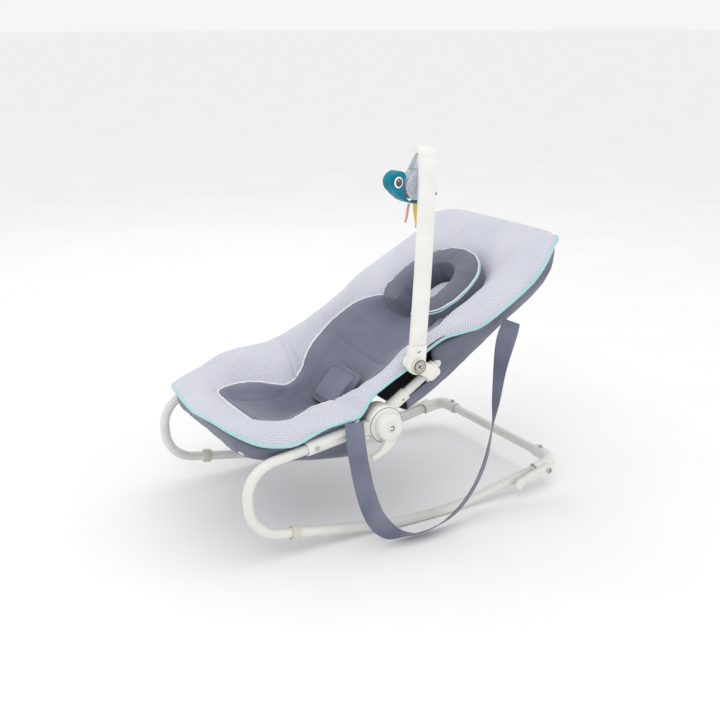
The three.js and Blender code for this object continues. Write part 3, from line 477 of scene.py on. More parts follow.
def place(s, y, h):
    """Row-frame point of a station, a side distance and a height above the tube line."""
    s, y, h = np.broadcast_arrays(np.asarray(s, float), np.asarray(y, float), np.asarray(h, float))
    tilt = math.pi / 2 + BACK_ANGLE * smoothstep((s - FOLD_START) / (FOLD_END - FOLD_START))
    back = s > 0
    x = HUB[0] + s * np.where(back, math.cos(BACK_ANGLE), 1) + h * np.cos(tilt)
    z = HUB[1] + s * np.where(back, math.sin(BACK_ANGLE), 0) + h * np.sin(tilt)
    return np.stack([x, y, z], axis=-1)


# Rim of the liner, front centre to head end centre: station, half width, height
RIM = [(-297, 0, 11), (-296, 45, 15), (-291, 95, 17), (-283, 140, 14), (-268, 176, 8), (-249, 199, 2),
       (-222, 212, -2), (-187, 216, -4), (-150, 217, 8), (-118, 216, 17), (-82, 215, 19), (-56, 214, 21),
       (-41, 211, 31), (-24, 207, 46), (0, 203, 57), (30, 198, 51), (67, 196, 47), (105, 190, 39),
       (160, 187, 37), (203, 190, 33), (238, 206, 24), (273, 219, 15), (340, 225, 13), (410, 223, 12),
       (458, 219, 22), (495, 209, 32), (522, 188, 24), (541, 152, 8), (550, 104, -8), (554, 52, -16),
       (555, 0, -18)]
# White piping round the grey panel: station, half width, height
PANEL = [(-206, 0, -4), (-206, 55, -3), (-203, 98, -1), (-188, 117, 1), (-150, 122, 4), (-115, 108, 6),
         (-84, 82, 3), (-62, 72, 1), (-42, 77, 6), (-18, 92, 16), (8, 110, 26), (45, 126, 32),
         (90, 140, 34), (140, 149, 34), (200, 146, 30), (238, 130, 20), (268, 106, 8), (310, 98, -2),
         (350, 94, -6), (380, 84, -6), (398, 60, -6), (405, 28, -6), (406, 0, -6)]
# Crest of the side bolsters (station, height): the near one is slack at the legs, the far one stands up
CREST_NEAR = [(-298, 17), (-248, 29), (-174, 28), (-121, 21), (-67, 18), (-43, 20), (-27, 42), (-8, 56),
              (20, 60), (55, 57), (92, 62), (127, 66), (175, 58), (238, 50), (273, 46), (331, 41), (385, 38),
              (442, 34), (495, 42), (530, 42), (555, 30)]
CREST_FAR = [(-298, 17), (-250, 21), (-201, 30), (-159, 50), (-112, 60), (-52, 65), (-8, 73), (30, 69),
             (69, 64), (127, 60), (200, 57), (273, 51), (331, 44), (385, 39), (442, 35), (495, 42),
             (530, 42), (555, 30)]
PAN = [(-206, -8), (-170, -19), (-140, -28), (-100, -37), (-60, -42), (-20, -45), (10, -43), (40, -32),
       (70, -21), (120, -13), (200, -18), (300, -28), (406, -22)]
HALF_LOOP = 240
SEAM_BACK = 112  # station of the seam across the back of the panel
HIP_SEAM = -22


def full_loop(rows):
    """Closed loop of [s, y, h] from half an outline, with the same number of points on both sides."""
    half = spline(rows, HALF_LOOP + 1)
    mirrored = half[1:-1][::-1] * [1, -1, 1]
    return np.vstack([half, mirrored])


rim_loop = full_loop(RIM)


def matched_panel_loop():
    """The panel's outline, with its points set against the rim's points."""
    dense = spline(PANEL, 2000)
    rim_half = spline(RIM, HALF_LOOP + 1)
    rim_run = np.concatenate([[0], np.cumsum(np.linalg.norm(np.diff(rim_half[:, :2], axis=0), axis=1))])
    rim_stations = [-297, -268, -222, -150, -56, 0, 105, 273, 410, 495, 541, 555]
    key_rim = np.interp(rim_stations, rim_half[:, 0], rim_run)
    run = np.concatenate([[0], np.cumsum(np.linalg.norm(np.diff(dense[:, :2], axis=0), axis=1))])
    stations = [(-206, 0), (-206, 70), (-200, 104), (-150, 122), (-62, 72), (-5, 101), (105, 144), (245, 124),
                (335, 96), (382, 82), (401, 48), (406, 0)]
    key_panel = [run[np.argmin((dense[:, 0] - s) ** 2 + (dense[:, 1] - y) ** 2)] for s, y in stations]
    want = along(list(zip(key_rim, key_panel)), rim_run)
    want = np.maximum.accumulate(np.clip(want, 0, run[-1]))
    want[0], want[-1] = 0, run[-1]
    half = np.stack([np.interp(want, run, dense[:, k]) for k in range(3)], axis=1)
    return np.vstack([half, half[1:-1][::-1] * [1, -1, 1]])


inner_loop = matched_panel_loop()


def groove(distance, width, depth):
    return -depth * np.exp(-(distance / width) ** 2)


def border_height(r, rim, crest, pipe):
    """Height across the border from the rim (0) over the crest to the piping (1)."""
    rise = rim + (crest - rim) * np.minimum(1, np.sqrt(np.clip(1 - (1 - r / CREST_SHARE) ** 2, 0, 1)))
    fall_t = np.clip((r - CREST_SHARE) / (1 - CREST_SHARE), 0, 1)
    fall = pipe + (crest - pipe) * np.cos(fall_t * math.pi / 2) ** 0.85
    return np.where(r < CREST_SHARE, rise, fall)


def build_border():
    across = 30
    count = len(rim_loop)
    r = np.concatenate([[0], (np.arange(1, across) / across) ** 0.9, [1.0]])
    blend = smoothstep(0.5 + rim_loop[:, 1] / 160)
    crest = blend * along(CREST_FAR, rim_loop[:, 0]) + (1 - blend) * along(CREST_NEAR, rim_loop[:, 0])
    spacing = np.linalg.norm(np.diff(rim_loop[:HALF_LOOP + 1], axis=0), axis=1)
    run_half = np.concatenate([[0], np.cumsum(spacing)])
    around = np.concatenate([run_half, run_half[1:-1][::-1]])
    verts, uvs = [], []
    for i in range(count):
        (s0, y0, h0), (s1, y1, h1) = rim_loop[i], inner_loop[i]
        s = s0 + (s1 - s0) * r
        y = y0 + (y1 - y0) * r
        bulge = 3.5 * np.sin(np.clip(r / 0.22, 0, 1) * math.pi)
        h = border_height(r, h0, crest[i], h1)
        p = place(s, y, h)
        outward = place(s0, y0, h0) - place(s1, y1, h0)
        p = p + bulge[:, None] * outward / np.linalg.norm(outward)
        reach = np.concatenate([[0], np.cumsum(np.linalg.norm(np.diff(p, axis=0), axis=1))])
        for k in range(len(r)):
            q = p[k]
            edge = min(r[k], 1 - r[k])
            run = i * 5.2
            pucker = math.exp(-edge * 9) * (wave((run, 0, 3 * s0), 11, 3.1) + 0.6 * wave((run, 5, 0), 5, 7.7))
            soft = 1.9 * wave(q, 58, 1.3) + 0.8 * wave(q, 27, 4.2)
            hip = groove(s[k] - HIP_SEAM - 0.15 * (abs(y[k]) - 150), 3.2, 3.6)
            lift = min(1, 6 * edge) * soft + 1.1 * pucker * (1 if k else 0) + hip * min(1, 5 * r[k])
            direction = place(s[k], y[k], 1) - place(s[k], y[k], 0)
            verts.append(q + direction * lift)
            uvs.append((around[i] * MM, reach[k] * MM))
    n = len(r)
    top = np.array(verts).reshape(count, n, 3)
    thick = 3 + 11 * np.sin(np.clip(r, 0, 1) * math.pi) ** 0.6
    down = place(rim_loop[:, 0], 0, 1) - place(rim_loop[:, 0], 0, 0)
    bottom = top - down[:, None] * thick[None, :, None]
    bottom = bottom[:, ::-1]
    strip = np.concatenate([top, bottom], axis=1)
    uv = np.array(uvs).reshape(count, n, 2)
    uv = np.concatenate([uv, uv[:, ::-1]], axis=1)
    faces = grid_faces(count, 2 * n, wrap_rows=True, wrap_cols=True)
    kind = [0 if (f % (2 * n)) < n - 1 else 1 for f in range(len(faces))]
    made = new_object("liner_border", strip.reshape(-1, 3), faces, [M_LIGHT, M_BACKING],
                      uv.reshape(-1, 2), kind)
    return made, top


def build_panel():
    across = 36
    count = len(inner_loop)
    r = np.linspace(0, 1, across + 1)
    low, high = PANEL[0][0], PANEL[-1][0]
    centre_s = low + 56 + (inner_loop[:, 0] - low) / (high - low) * (high - low - 112)
    pull = 0.5
    verts, uvs = [], []
    for i in range(count):
        s0, y0, h0 = inner_loop[i]
        target = (1 - pull) * centre_s[i] + pull * np.clip(s0, low + 50, high - 50)
        s = s0 + (target - s0) * r
        y = y0 * (1 - r)
        pan = along_pan(s)
        sink = smoothstep(r * 1.15) * 0.55 + 0.45 * np.sin(r * math.pi / 2)
        h = h0 + (pan - h0) * sink
        h = h + 5.0 * np.sin(np.clip(r / 0.34, 0, 1) * math.pi)
        h = h + groove(s - SEAM_BACK, 3.0, 4.2) * np.clip(r * 8, 0, 1)
        side_seam = groove(np.abs(y) - 62 + 0.10 * (s + 120), 3.0, 3.0)
        h = h + side_seam * np.clip(r * 8, 0, 1) * smoothstep((-50 - s) / 20)
        p = place(s, y, h)
        for k in range(across + 1):
            q = p[k]
            edge = math.exp(-r[k] * 10)
            soft = 1.7 * wave(q, 46, 9.1) + 0.7 * wave(q, 19, 2.2)
            pucker = edge * 1.0 * wave((i * 5.0, 0, 0), 9, 5.5)
            lift = soft * min(1, 8 * r[k]) + pucker
            direction = place(s[k], y[k], 1) - place(s[k], y[k], 0)
            verts.append(q + direction * lift)
            uvs.append((s[k] * MM, y[k] * MM))
    n = across + 1
    top = np.array(verts).reshape(count, n, 3)
    # both halves share the middle line
    middle = (top[:, -1] + np.roll(top[::-1], 1, axis=0)[:, -1]) / 2
    top[:, -1] = middle
    thick = 2 + 9 * np.sin(np.clip(r * 2, 0, 1) * math.pi / 2)
    down = place(inner_loop[:, 0], 0, 1) - place(inner_loop[:, 0], 0, 0)
    down_mid = (down + np.roll(down[::-1], 1, axis=0)) / 2
    bottom = top - down_mid[:, None] * thick[None, :, None]
    verts = np.concatenate([top, bottom[:, ::-1]], axis=1)
    uv = np.array(uvs).reshape(count, n, 2)
    uv = np.concatenate([uv, uv[:, ::-1]], axis=1)
    width = 2 * n
    faces, kind = [], []
    for f, face in enumerate(grid_faces(count, width, wrap_rows=True, wrap_cols=True)):
        column = f % width
        if column == n - 1:
            continue  # the top and the bottom meet only at the piping
        faces.append(face)
        kind.append(0 if column < n - 1 else 1)
    made = new_object("liner_panel", verts.reshape(-1, 3), faces, [M_SLATE, M_BACKING],
                      uv.reshape(-1, 2), kind, merge=0.02)
    return made


PAN_CURVE = spline(PAN, 500)


def along_pan(s):
    return np.interp(s, PAN_CURVE[:, 0], PAN_CURVE[:, 1])


def across_fold(piece):
    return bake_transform(piece)


border, border_top = build_border()
panel = build_panel()
rim_path = border_top[:, 0]
pipe_path = border_top[:, -1] + (place(inner_loop[:, 0], 0, 1) - place(inner_loop[:, 0], 0, 0)) * 1.2
rim_piping = tube("rim_binding", rim_path, 3.4, M_TURQUOISE, closed=True)
panel_piping = tube("panel_piping", pipe_path, 2.0, M_WHITE_PIPE, closed=True, sides=10)
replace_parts(border, "leg_pad", "back_pad")
for piece, slot_name in ((border, "light_fabric"), (panel, "grey_fabric"), (rim_piping, "light_fabric"),
                         (panel_piping, "white_fabric")):
    across_fold(piece)


# ---------------------------------------------------------------- slings under the liner
# Each sling is a shaped cloth tub. Rows run from its upper edge under the rim, round the outside of the
# tube, to the spine; each row is half an outline of [s, y, h] and is mirrored.
LEG_TUB = [
    [(-294, 0, 4), (-292, 45, 7), (-288, 95, 9), (-279, 140, 6), (-264, 174, 0), (-245, 195, -5),
     (-220, 207, -8), (-187, 211, -10), (-150, 212, 2), (-118, 211, 11), (-82, 210, 13), (-58, 209, 14)],
    [(-272.5, 0, -24), (-272.5, 120, -24), (-269, 150, -24), (-257, 181, -23), (-232, 197, -22),
     (-200, 197.5, -20.5), (-150, 197.5, -17.6), (-100, 197, -14.6), (-55, 197, -12)],
    [(-264, 0, -36), (-264, 120, -36), (-258, 150, -36), (-246, 172, -36), (-226, 187, -38),
     (-200, 189, -40), (-150, 189, -42), (-100, 189, -42), (-50, 188, -40)],
    [(-236, 0, -46), (-236, 90, -44), (-226, 125, -44), (-200, 146, -52), (-166, 152, -61),
     (-120, 152, -70), (-80, 152, -77), (-40, 150, -82)],
    [(-200, 0, -62), (-160, 0, -76), (-110, 0, -86), (-40, 0, -95)]]
BACK_TUB = [
    [(551, 0, -22), (549, 52, -20), (543, 104, -12), (534, 150, 4), (516, 185, 18), (491, 204, 27),
     (455, 214, 16), (410, 218, 6), (340, 220, 6), (273, 214, 8), (238, 201, 17), (203, 186, 26),
     (172, 184, 29), (160, 184, 10), (140, 197, -10), (110, 197, -10), (80, 196, -8), (66, 196, -6)],
    [(526.5, 0, -2), (526.5, 120, -2), (521, 150, -1), (506, 181, 0), (481, 199, 0), (440, 201.5, 0),
     (340, 201.5, 0), (240, 201.5, 0), (190, 201.5, 0), (168, 201, -4), (150, 198, -17), (125, 197, -17),
     (105, 198, -12), (66, 199, -9)],
    [(512, 0, -14), (512, 120, -14), (506, 150, -15), (492, 172, -18), (470, 188, -24), (440, 191, -27),
     (340, 191, -27), (240, 191, -29), (168, 190, -32), (125, 190, -32), (66, 190, -26)],
    [(490, 0, -34), (488, 90, -34), (476, 130, -42), (450, 150, -49), (385, 152, -56), (300, 152, -56),
     (182, 152, -60), (120, 152, -57), (66, 152, -52)],
    [(440, 0, -58), (380, 0, -70), (240, 0, -73), (165, 0, -72), (100, 0, -66), (66, 0, -60)]]
SLING_THICK = 1.4


def thicken(piece, thick):
    """Turns an open surface into a closed thin shell."""
    work = bmesh.new()
    work.from_mesh(piece.data)
    bmesh.ops.solidify(work, geom=work.faces[:], thickness=thick * MM)
    bmesh.ops.recalc_face_normals(work, faces=work.faces)
    work.to_mesh(piece.data)
    work.free()
    piece.data.polygons.foreach_set("use_smooth", [True] * len(piece.data.polygons))


def tub(name, rows, body, node):
    """A sling through the half outlines in rows, from the upper edge to the spine."""
    steps, across = 110, 34
    halves = np.array([spline(row, steps) for row in rows])
    lines = np.stack([spline(halves[:, i], across) for i in range(steps)], axis=1)
    full = np.concatenate([lines[:, :0:-1] * [1, -1, 1], lines], axis=1)
    columns = full.shape[1]
    verts, uvs = [], []
    for r in range(across):
        slack = math.sin(math.pi * r / (across - 1)) ** 0.5
        p = place(full[r, :, 0], full[r, :, 1], full[r, :, 2])
        for c in range(columns):
            ripple = 1.5 * wave(p[c], 40, 6.0) + 1.0 * wave(p[c], 17, 1.0)
            verts.append(p[c] + np.array([0, 0, slack * ripple if r < across - 1 else 0.0]))
            uvs.append((full[r, c, 0] * MM, full[r, c, 1] * MM))
    made = new_object(name, verts, grid_faces(across, columns), [M_SLING], uvs, merge=0.02)
    spine = np.array(verts).reshape(across, columns, 3)[:, columns // 2]
    length = float(np.linalg.norm(np.diff(spine, axis=0), axis=1).sum()) * MM
    length += float(np.linalg.norm(lines[-1, -1] - lines[-1, 0])) * MM
    thicken(made, SLING_THICK)
    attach(made, body)
    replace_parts(made, node)
    return made


# ---------------------------------------------------------------- tubes
def bent(corners, steps=14):
    """Straight runs joined by arcs; corners are (x, y, z, bend radius)."""
    pts = [np.array(c[:3], float) for c in corners]
    path = [pts[0]]
    for i in range(1, len(pts) - 1):
        a = (pts[i] - pts[i - 1]) / np.linalg.norm(pts[i] - pts[i - 1])
        b = (pts[i + 1] - pts[i]) / np.linalg.norm(pts[i + 1] - pts[i])
        half = math.acos(np.clip(a @ b, -1, 1)) / 2
        radius = corners[i][3]
        start, end = pts[i] - a * radius * math.tan(half), pts[i] + b * radius * math.tan(half)
        middle = (start + end) / 2 - pts[i]
        centre = pts[i] + middle / np.linalg.norm(middle) * radius / math.cos(half)
        u = (start - centre) / radius
        w = end - centre
        w = w - u * (w @ u)
        w /= np.linalg.norm(w)
        for k in range(steps + 1):
            angle = 2 * half * k / steps
            path.append(centre + radius * (u * math.cos(angle) + w * math.sin(angle)))
    path.append(pts[-1])
    return refine(np.array(path), 14)


def refine(path, step):
    """Adds points on long straight runs so that no stretch is longer than step."""
    out = [path[0]]
    for a, b in zip(path[:-1], path[1:]):
        parts = max(1, int(np.linalg.norm(b - a) // step))
        out += [a + (b - a) * (k + 1) / parts for k in range(parts)]
    return np.array(out)


ROCKER = dict(x=11, radius=700, front=math.radians(9.7), rear=math.radians(11), flat=16)


def rail_z(angle):
    return TUBE_R + ROCKER["radius"] * (1 - math.cos(angle))


FRONT_X = ROCKER["x"] - ROCKER["flat"] - ROCKER["radius"] * math.sin(ROCKER["front"])
REAR_X = ROCKER["x"] + ROCKER["flat"] + ROCKER["radius"] * math.sin(ROCKER["rear"])


def front_rail(x):
    return rail_z(ROCKER["front"]) + math.tan(ROCKER["front"]) * (FRONT_X - x)


def rear_rail(x):
    return rail_z(ROCKER["rear"]) + math.tan(ROCKER["rear"]) * (x - REAR_X)


def upper(x):
    return 220 + 0.153 * (x + 171)


def base_path(y):
    bend = bent([(-143, y, upper(-143), 0), (-374, y, upper(-374), 62), (-368, y, front_rail(-368), 72),
                 (FRONT_X, y, front_rail(FRONT_X), 0)])
    arcs = []
    for sign, limit in ((-1, ROCKER["front"]), (1, ROCKER["rear"])):
        angles = np.linspace(0, limit, 9)
        reach = ROCKER["flat"] + ROCKER["radius"] * np.sin(angles)
        arc = [(ROCKER["x"] + sign * out, y, rail_z(a)) for out, a in zip(reach, angles)]
        arcs += arc[::-1] if sign < 0 else arc
    return np.vstack([bend[:-1], arcs, [(312, y, rear_rail(312))]])


def seat_z(x):
    return 216 + 0.06 * (x + 150)


for side_name, side in SIDES:
    rail = tube(f"base_rail_{side_name}", base_path(side * RAIL_Y), TUBE_R - 0.15, M_PAINT, sides=24)
    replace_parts(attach(rail, "base"), f"base_tube_{side_name}")
SEAT_FRONT_X, SEAT_REAR_X = -352, -148
seat_corners = [(x, y, seat_z(x), bend) for x, y, bend in (
    (SEAT_REAR_X, -SEAT_TUBE_Y, 0), (SEAT_FRONT_X, -SEAT_TUBE_Y, 48),
    (SEAT_FRONT_X, SEAT_TUBE_Y, 48), (SEAT_REAR_X, SEAT_TUBE_Y, 0))]
seat_bar = tube("seat_tube", bent(seat_corners), SEAT_TUBE_R, M_PAINT, sides=20)
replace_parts(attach(seat_bar, "base"), "seat_front_tube")


def on_back(t, y, n):
    """Row-frame point of backrest coordinates: t up the backrest, n off it."""
    c, s = math.cos(BACK_ANGLE), math.sin(BACK_ANGLE)
    return np.array([HUB[0] + t * c - n * s, y, HUB[1] + t * s + n * c])


back_corners = [(*on_back(t, y, 0), bend) for t, y, bend in (
    (46, -BACK_TUBE_Y, 0), (BACK_LENGTH, -BACK_TUBE_Y, 52),
    (BACK_LENGTH, BACK_TUBE_Y, 52), (46, BACK_TUBE_Y, 0))]
back_bar = tube("back_tube", bent(back_corners), BACK_TUBE_R, M_PAINT, sides=20)
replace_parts(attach(back_bar, "backrest"), "backrest_tube")

tub("seat_sling", LEG_TUB, "base", "leg_sling")
tub("back_sling_cloth", BACK_TUB, "backrest", "back_sling")


# ---------------------------------------------------------------- stuffed pieces by cloth simulation
def copied(node, name, material, voxel, shrink, smooth):
    """A voxel-remeshed copy of a CAD solid, slightly shrunk and rounded, ready to be inflated."""
    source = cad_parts[node]
    made = bpy.data.objects.new(name, source.data.copy())
    bpy.context.scene.collection.objects.link(made)
    made.data.materials.clear()
    made.data.materials.append(material)
    remesh = made.modifiers.new("remesh", "REMESH")
    remesh.mode = "VOXEL"
    remesh.voxel_size = voxel * MM
    remesh.use_smooth_shade = True
    evaluated = made.evaluated_get(bpy.context.evaluated_depsgraph_get())
    mesh = bpy.data.meshes.new_from_object(evaluated)
    made.modifiers.clear()
    made.data = mesh
    work = bmesh.new()
    work.from_mesh(mesh)
    for _ in range(smooth):
        bmesh.ops.smooth_vert(work, verts=work.verts, factor=0.5,
                              use_axis_x=True, use_axis_y=True, use_axis_z=True)
    work.normal_update()
    for v in work.verts:
        v.co -= v.normal * shrink * MM
    work.to_mesh(mesh)
    work.free()
    mesh.polygons.foreach_set("use_smooth", [True] * len(mesh.polygons))
    return made


def coordinates(mesh):
    co = np.empty(len(mesh.vertices) * 3)
    mesh.vertices.foreach_get("co", co)
    return co.reshape(-1, 3)


def inflate(pieces, frames=20):
    """Runs one cloth simulation for all the pieces: (object, pressure, cap in mm)."""
    starts = []
    for piece, pressure, _ in pieces:
        starts.append(coordinates(piece.data))
        cloth = piece.modifiers.new("cloth", "CLOTH")
        cloth.settings.quality = 4
        cloth.settings.mass = 0.2
        cloth.settings.tension_stiffness = 12
        cloth.settings.compression_stiffness = 12
        cloth.settings.bending_stiffness = 0.4
        cloth.settings.use_pressure = True
        cloth.settings.uniform_pressure_force = pressure
        cloth.settings.effector_weights.gravity = 0
        cloth.collision_settings.use_collision = False
        cloth.point_cache.frame_end = frames
    for step in range(1, frames + 1):
        bpy.context.scene.frame_set(step)
    graph = bpy.context.evaluated_depsgraph_get()
    results = [coordinates(piece.evaluated_get(graph).data) for piece, _, _ in pieces]
    for (piece, _, cap), start, end in zip(pieces, starts, results):
        piece.modifiers.clear()
        move = end - start
        length = np.linalg.norm(move, axis=1)
        limited = cap * MM * np.tanh(length / (cap * MM))
        scale = np.where(length > 0, limited / np.maximum(length, 1e-12), 0)
        piece.data.vertices.foreach_set("co", (start + move * scale[:, None]).ravel())
        piece.data.update()
    bpy.context.scene.frame_set(1)


def reshape(piece, shift):
    """Moves each vertex by shift(point in mm, normal), which returns millimetres."""
    co = coordinates(piece.data)
    normals = np.empty(len(co) * 3)
    piece.data.vertices.foreach_get("normal", normals)
    normals = normals.reshape(-1, 3)
    moved = np.array([shift(p / MM, n) for p, n in zip(co, normals)]) * MM
    piece.data.vertices.foreach_set("co", (co + moved).ravel())
    piece.data.update()


def plan_uv(piece, u_axis, v_axis):
    """UV map in metres from two directions."""
    mesh = piece.data
    layer = mesh.uv_layers.get("UVMap") or mesh.uv_layers.new(name="UVMap")
    corner = np.empty(len(mesh.loops), int)
    mesh.loops.foreach_get("vertex_index", corner)
    co = coordinates(mesh)[corner]
    layer.data.foreach_set("uv", np.stack([co @ np.array(u_axis), co @ np.array(v_axis)], axis=1).ravel())


head_ring = copied("head_ring", "head_cushion", M_RING, 4.5, 5.0, 9)
head_pad = copied("head_pad", "head_cushion_middle", M_LIGHT, 4.0, 1.5, 4)
flap = copied("crotch_flap", "crotch_flap_cushion", M_SLATE, 3.2, 1.5, 2)
bird = copied("toy_body", "toy_bird_body", M_TEAL, 2.4, 2.0, 5)
wing = copied("toy_wing", "toy_bird_wing", M_WING, 2.4, 2.0, 5)
inflate([(head_ring, 4.5, 9), (head_pad, 4, 6), (flap, 4, 5), (bird, 3.5, 3.2), (wing, 3.5, 3.6)])

T_AXIS = np.array([math.cos(BACK_ANGLE), 0, math.sin(BACK_ANGLE)])
RING_CENTRE = on_back(318, 0, 8)


def ring_gathers(p, normal):
    d = p - RING_CENTRE
    t, y = d @ T_AXIS, d[1]
    angle = math.atan2(y, t)
    reach = math.hypot(t, y)
    near_hole = math.exp(-max(0, reach - 48) / 22)
    near_rim = math.exp(-max(0, 118 - reach) / 16)
    fold = wave((angle * 60, 0, 0), 5.2, 2.4) * near_hole * 3.2
    fold += wave((angle * 110, 9, 0), 6.5, 8.2) * near_rim * 2.0
    soft = 1.2 * wave(p, 34, 3.3)
    return normal * (fold + soft)


def flap_frame(p):
    """Coordinates of a point on the crotch flap: along, across and off it."""
    d = np.asarray(p) - np.array(FLAP_PLACE)
    c, s = math.cos(FLAP_TILT), math.sin(FLAP_TILT)
    return (d[0] * c + d[2] * s, d[1], -d[0] * s + d[2] * c)


def flap_edge(a, y):
    """Distance in from the flap's edge."""
    half = 60 - 8 * np.clip((a + 10) / -60, 0, 1)
    corner = 24
    dx, dy = abs(a) - (49 - corner), abs(y) - (half - corner)
    outside = math.hypot(max(dx, 0), max(dy, 0)) + min(max(dx, dy), 0)
    return corner - outside


def flap_channel(p, normal):
    a, y, off = flap_frame(p)
    edge = flap_edge(a, y)
    sunk = sum(groove(edge - at, 1.6, 2.0) for at in (8, 12.5))
    soft = 0.9 * wave(p, 26, 5.1) * min(1, max(0, edge / 20))
    return normal * (sunk + soft)


reshape(head_ring, ring_gathers)
reshape(head_pad, lambda p, n: n * (0.9 * wave(p, 22, 4.4)))
subdivide(head_ring)
subdivide(head_pad)
flap_mesh = bmesh.new()
flap_mesh.from_mesh(flap.data)
bmesh.ops.subdivide_edges(flap_mesh, edges=flap_mesh.edges, cuts=1, use_grid_fill=True, smooth=0.5)
flap_mesh.to_mesh(flap.data)
flap_mesh.free()
reshape(flap, flap_channel)
for piece in (flap, bird, wing):
    piece.data.polygons.foreach_set("use_smooth", [True] * len(piece.data.polygons))
subdivide(bird)
subdivide(wing)
for piece in (head_pad, head_ring, flap):
    plan_uv(piece, T_AXIS, (0, 1, 0))

for piece, body, node, slot_name, fill in (
        (head_ring, "backrest", "head_ring", "grey_fabric", 0.8),
        (head_pad, "backrest", "head_pad", "light_fabric", 0.6),
        (flap, "base", "crotch_flap", "grey_fabric", 0.5),
        (bird, "toy", "toy_body", "teal_fabric", 0.8),
        (wing, "toy", "toy_wing", "wing_fabric", 0.8)):
    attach(piece, body)
    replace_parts(piece, node)


def surface_tree(piece):
    graph = bpy.context.evaluated_depsgraph_get()
    evaluated = piece.evaluated_get(graph)
    return BVHTree.FromPolygons([v.co.copy() for v in evaluated.data.vertices],
                                [tuple(p.vertices) for p in evaluated.data.polygons])


def laid_on(piece, path, lift):
    """A path in millimetres brought onto a piece's surface and lifted off it."""
    tree = surface_tree(piece)
    out = []
    for p in path:
        spot, normal, _, _ = tree.find_nearest(Vector(p * MM))
        out.append(np.array(spot + normal * lift * MM) / MM)
    return np.array(out)


# Double piping round the head cushion's outer upper edge: rows are t, y on the backrest
RING_EDGE = [(240, -84), (262, -112), (310, -123), (362, -119), (404, -90), (424, -45), (428, 0), (424, 45),
             (404, 90), (362, 119), (310, 123), (262, 112), (240, 84)]
for piping_name, height, radius, material in (("cushion_piping_outer", 30, 2.0, M_TURQUOISE),
                                              ("cushion_piping_inner", 36, 1.6, M_WHITE_PIPE)):
    edge = spline(RING_EDGE, 140)
    path = np.array([on_back(t, y, height) for t, y in edge])
    path = laid_on(head_ring, path, 0.8)
    path = spline(path[::4], 150)
    piping = tube(piping_name, path, radius, material, sides=10)
    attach(piping, "backrest")


def stitches(name, path, normals, length, gap, body, radius=0.38):
    """A run of short threads along a path in millimetres."""
    path, normals = np.asarray(path), np.asarray(normals)
    run = np.concatenate([[0], np.cumsum(np.linalg.norm(np.diff(path, axis=0), axis=1))])
    verts, faces = [], []
    start = 0.0
    section = [(math.cos(a), math.sin(a)) for a in np.linspace(0, 2 * math.pi, 6, endpoint=False)]
    while start + length < run[-1]:
        marks = np.linspace(start, start + length, 4)
        centre = np.stack([np.interp(marks, run, path[:, k]) for k in range(3)], axis=1)
        up = np.stack([np.interp(marks, run, normals[:, k]) for k in range(3)], axis=1)
        heading = centre[-1] - centre[0]
        heading /= np.linalg.norm(heading)
        base = len(verts)
        for m, (c, u) in enumerate(zip(centre, up)):
            u = u - heading * (u @ heading)
            u /= np.linalg.norm(u)
            w = np.cross(heading, u)
            size = radius * (0.55 if m in (0, 3) else 1.0)
            lift = 0.15 if m in (0, 3) else 0.5
            for cu, cw in section:
                verts.append(c + u * (lift * radius + size * cu) + w * size * cw)
        faces += grid_faces(4, 6, wrap_cols=True, offset=base)
        faces.append(tuple(base + k for k in range(5, -1, -1)))
        faces.append(tuple(base + 18 + k for k in range(6)))
        start += length + gap
    made = new_object(name, verts, faces, [M_THREAD])
    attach(made, body)
    return made


def flap_point(a, y, off):
    c, s = math.cos(FLAP_TILT), math.sin(FLAP_TILT)
    return np.array(FLAP_PLACE) + np.array([a * c - off * s, y, a * s + off * c])


def flap_outline(inset, count=160):
    """Closed line at a constant distance in from the flap's edge."""
    angles = np.linspace(0, 2 * math.pi, count, endpoint=False)
    line = []
    for angle in angles:
        low, high = 0.0, 90.0
        for _ in range(24):
            reach = (low + high) / 2
            if flap_edge(reach * math.cos(angle), reach * math.sin(angle)) > inset:
                low = reach
            else:
                high = reach
        line.append((low * math.cos(angle), low * math.sin(angle)))
    return np.array(line)


for row, inset in enumerate((8, 12.5)):
    ring = flap_outline(inset)
    ring = np.vstack([ring, ring[:1]])
    path = laid_on(flap, np.array([flap_point(a, y, 9) for a, y in ring]), 0.1)
    up = flap_point(0, 0, 1) - flap_point(0, 0, 0)
    stitches(f"flap_stitching_{row + 1}", path, np.tile(up, (len(path), 1)), 2.6, 1.2, "base")


# ---------------------------------------------------------------- straps
CARRY_ROUTE = [(-163, 231, 249, 1, 0.05, 0.12), (-165, 243, 205, 1, 0.1, 0.1),
               (-163, 255, 160, 1, 0.1, 0.1), (-155, 264, 110, 1, 0.15, 0.25),
               (-137, 269, 62, 0.85, 0.2, 0.5), (-104, 272, 26, 0.45, 0.55, 0.7),
               (-58, 274, 13.5, 0.05, 0.85, 0.5), (-5, 273, 17, -0.2, 0.78, 0.55),
               (48, 269, 36, -0.4, 0.62, 0.68), (92, 262, 72, -0.62, 0.6, 0.5),
               (124, 254, 120, -0.68, 0.6, 0.4), (143, 246, 178, -0.6, 0.72, 0.3),
               (156, 239, 236, -0.25, 0.95, 0.1), (168, 232, 296, 0.05, 1, 0),
               (182, 227, 346, 0.5, 0.8, -0.2), (201, 222, 388, 0.95, 0.25, -0.45)]
WAIST_ROUTE = [(-79.5, 34, 213), (-80, 66, 214), (-80, 100, 217), (-80, 132, 221)]
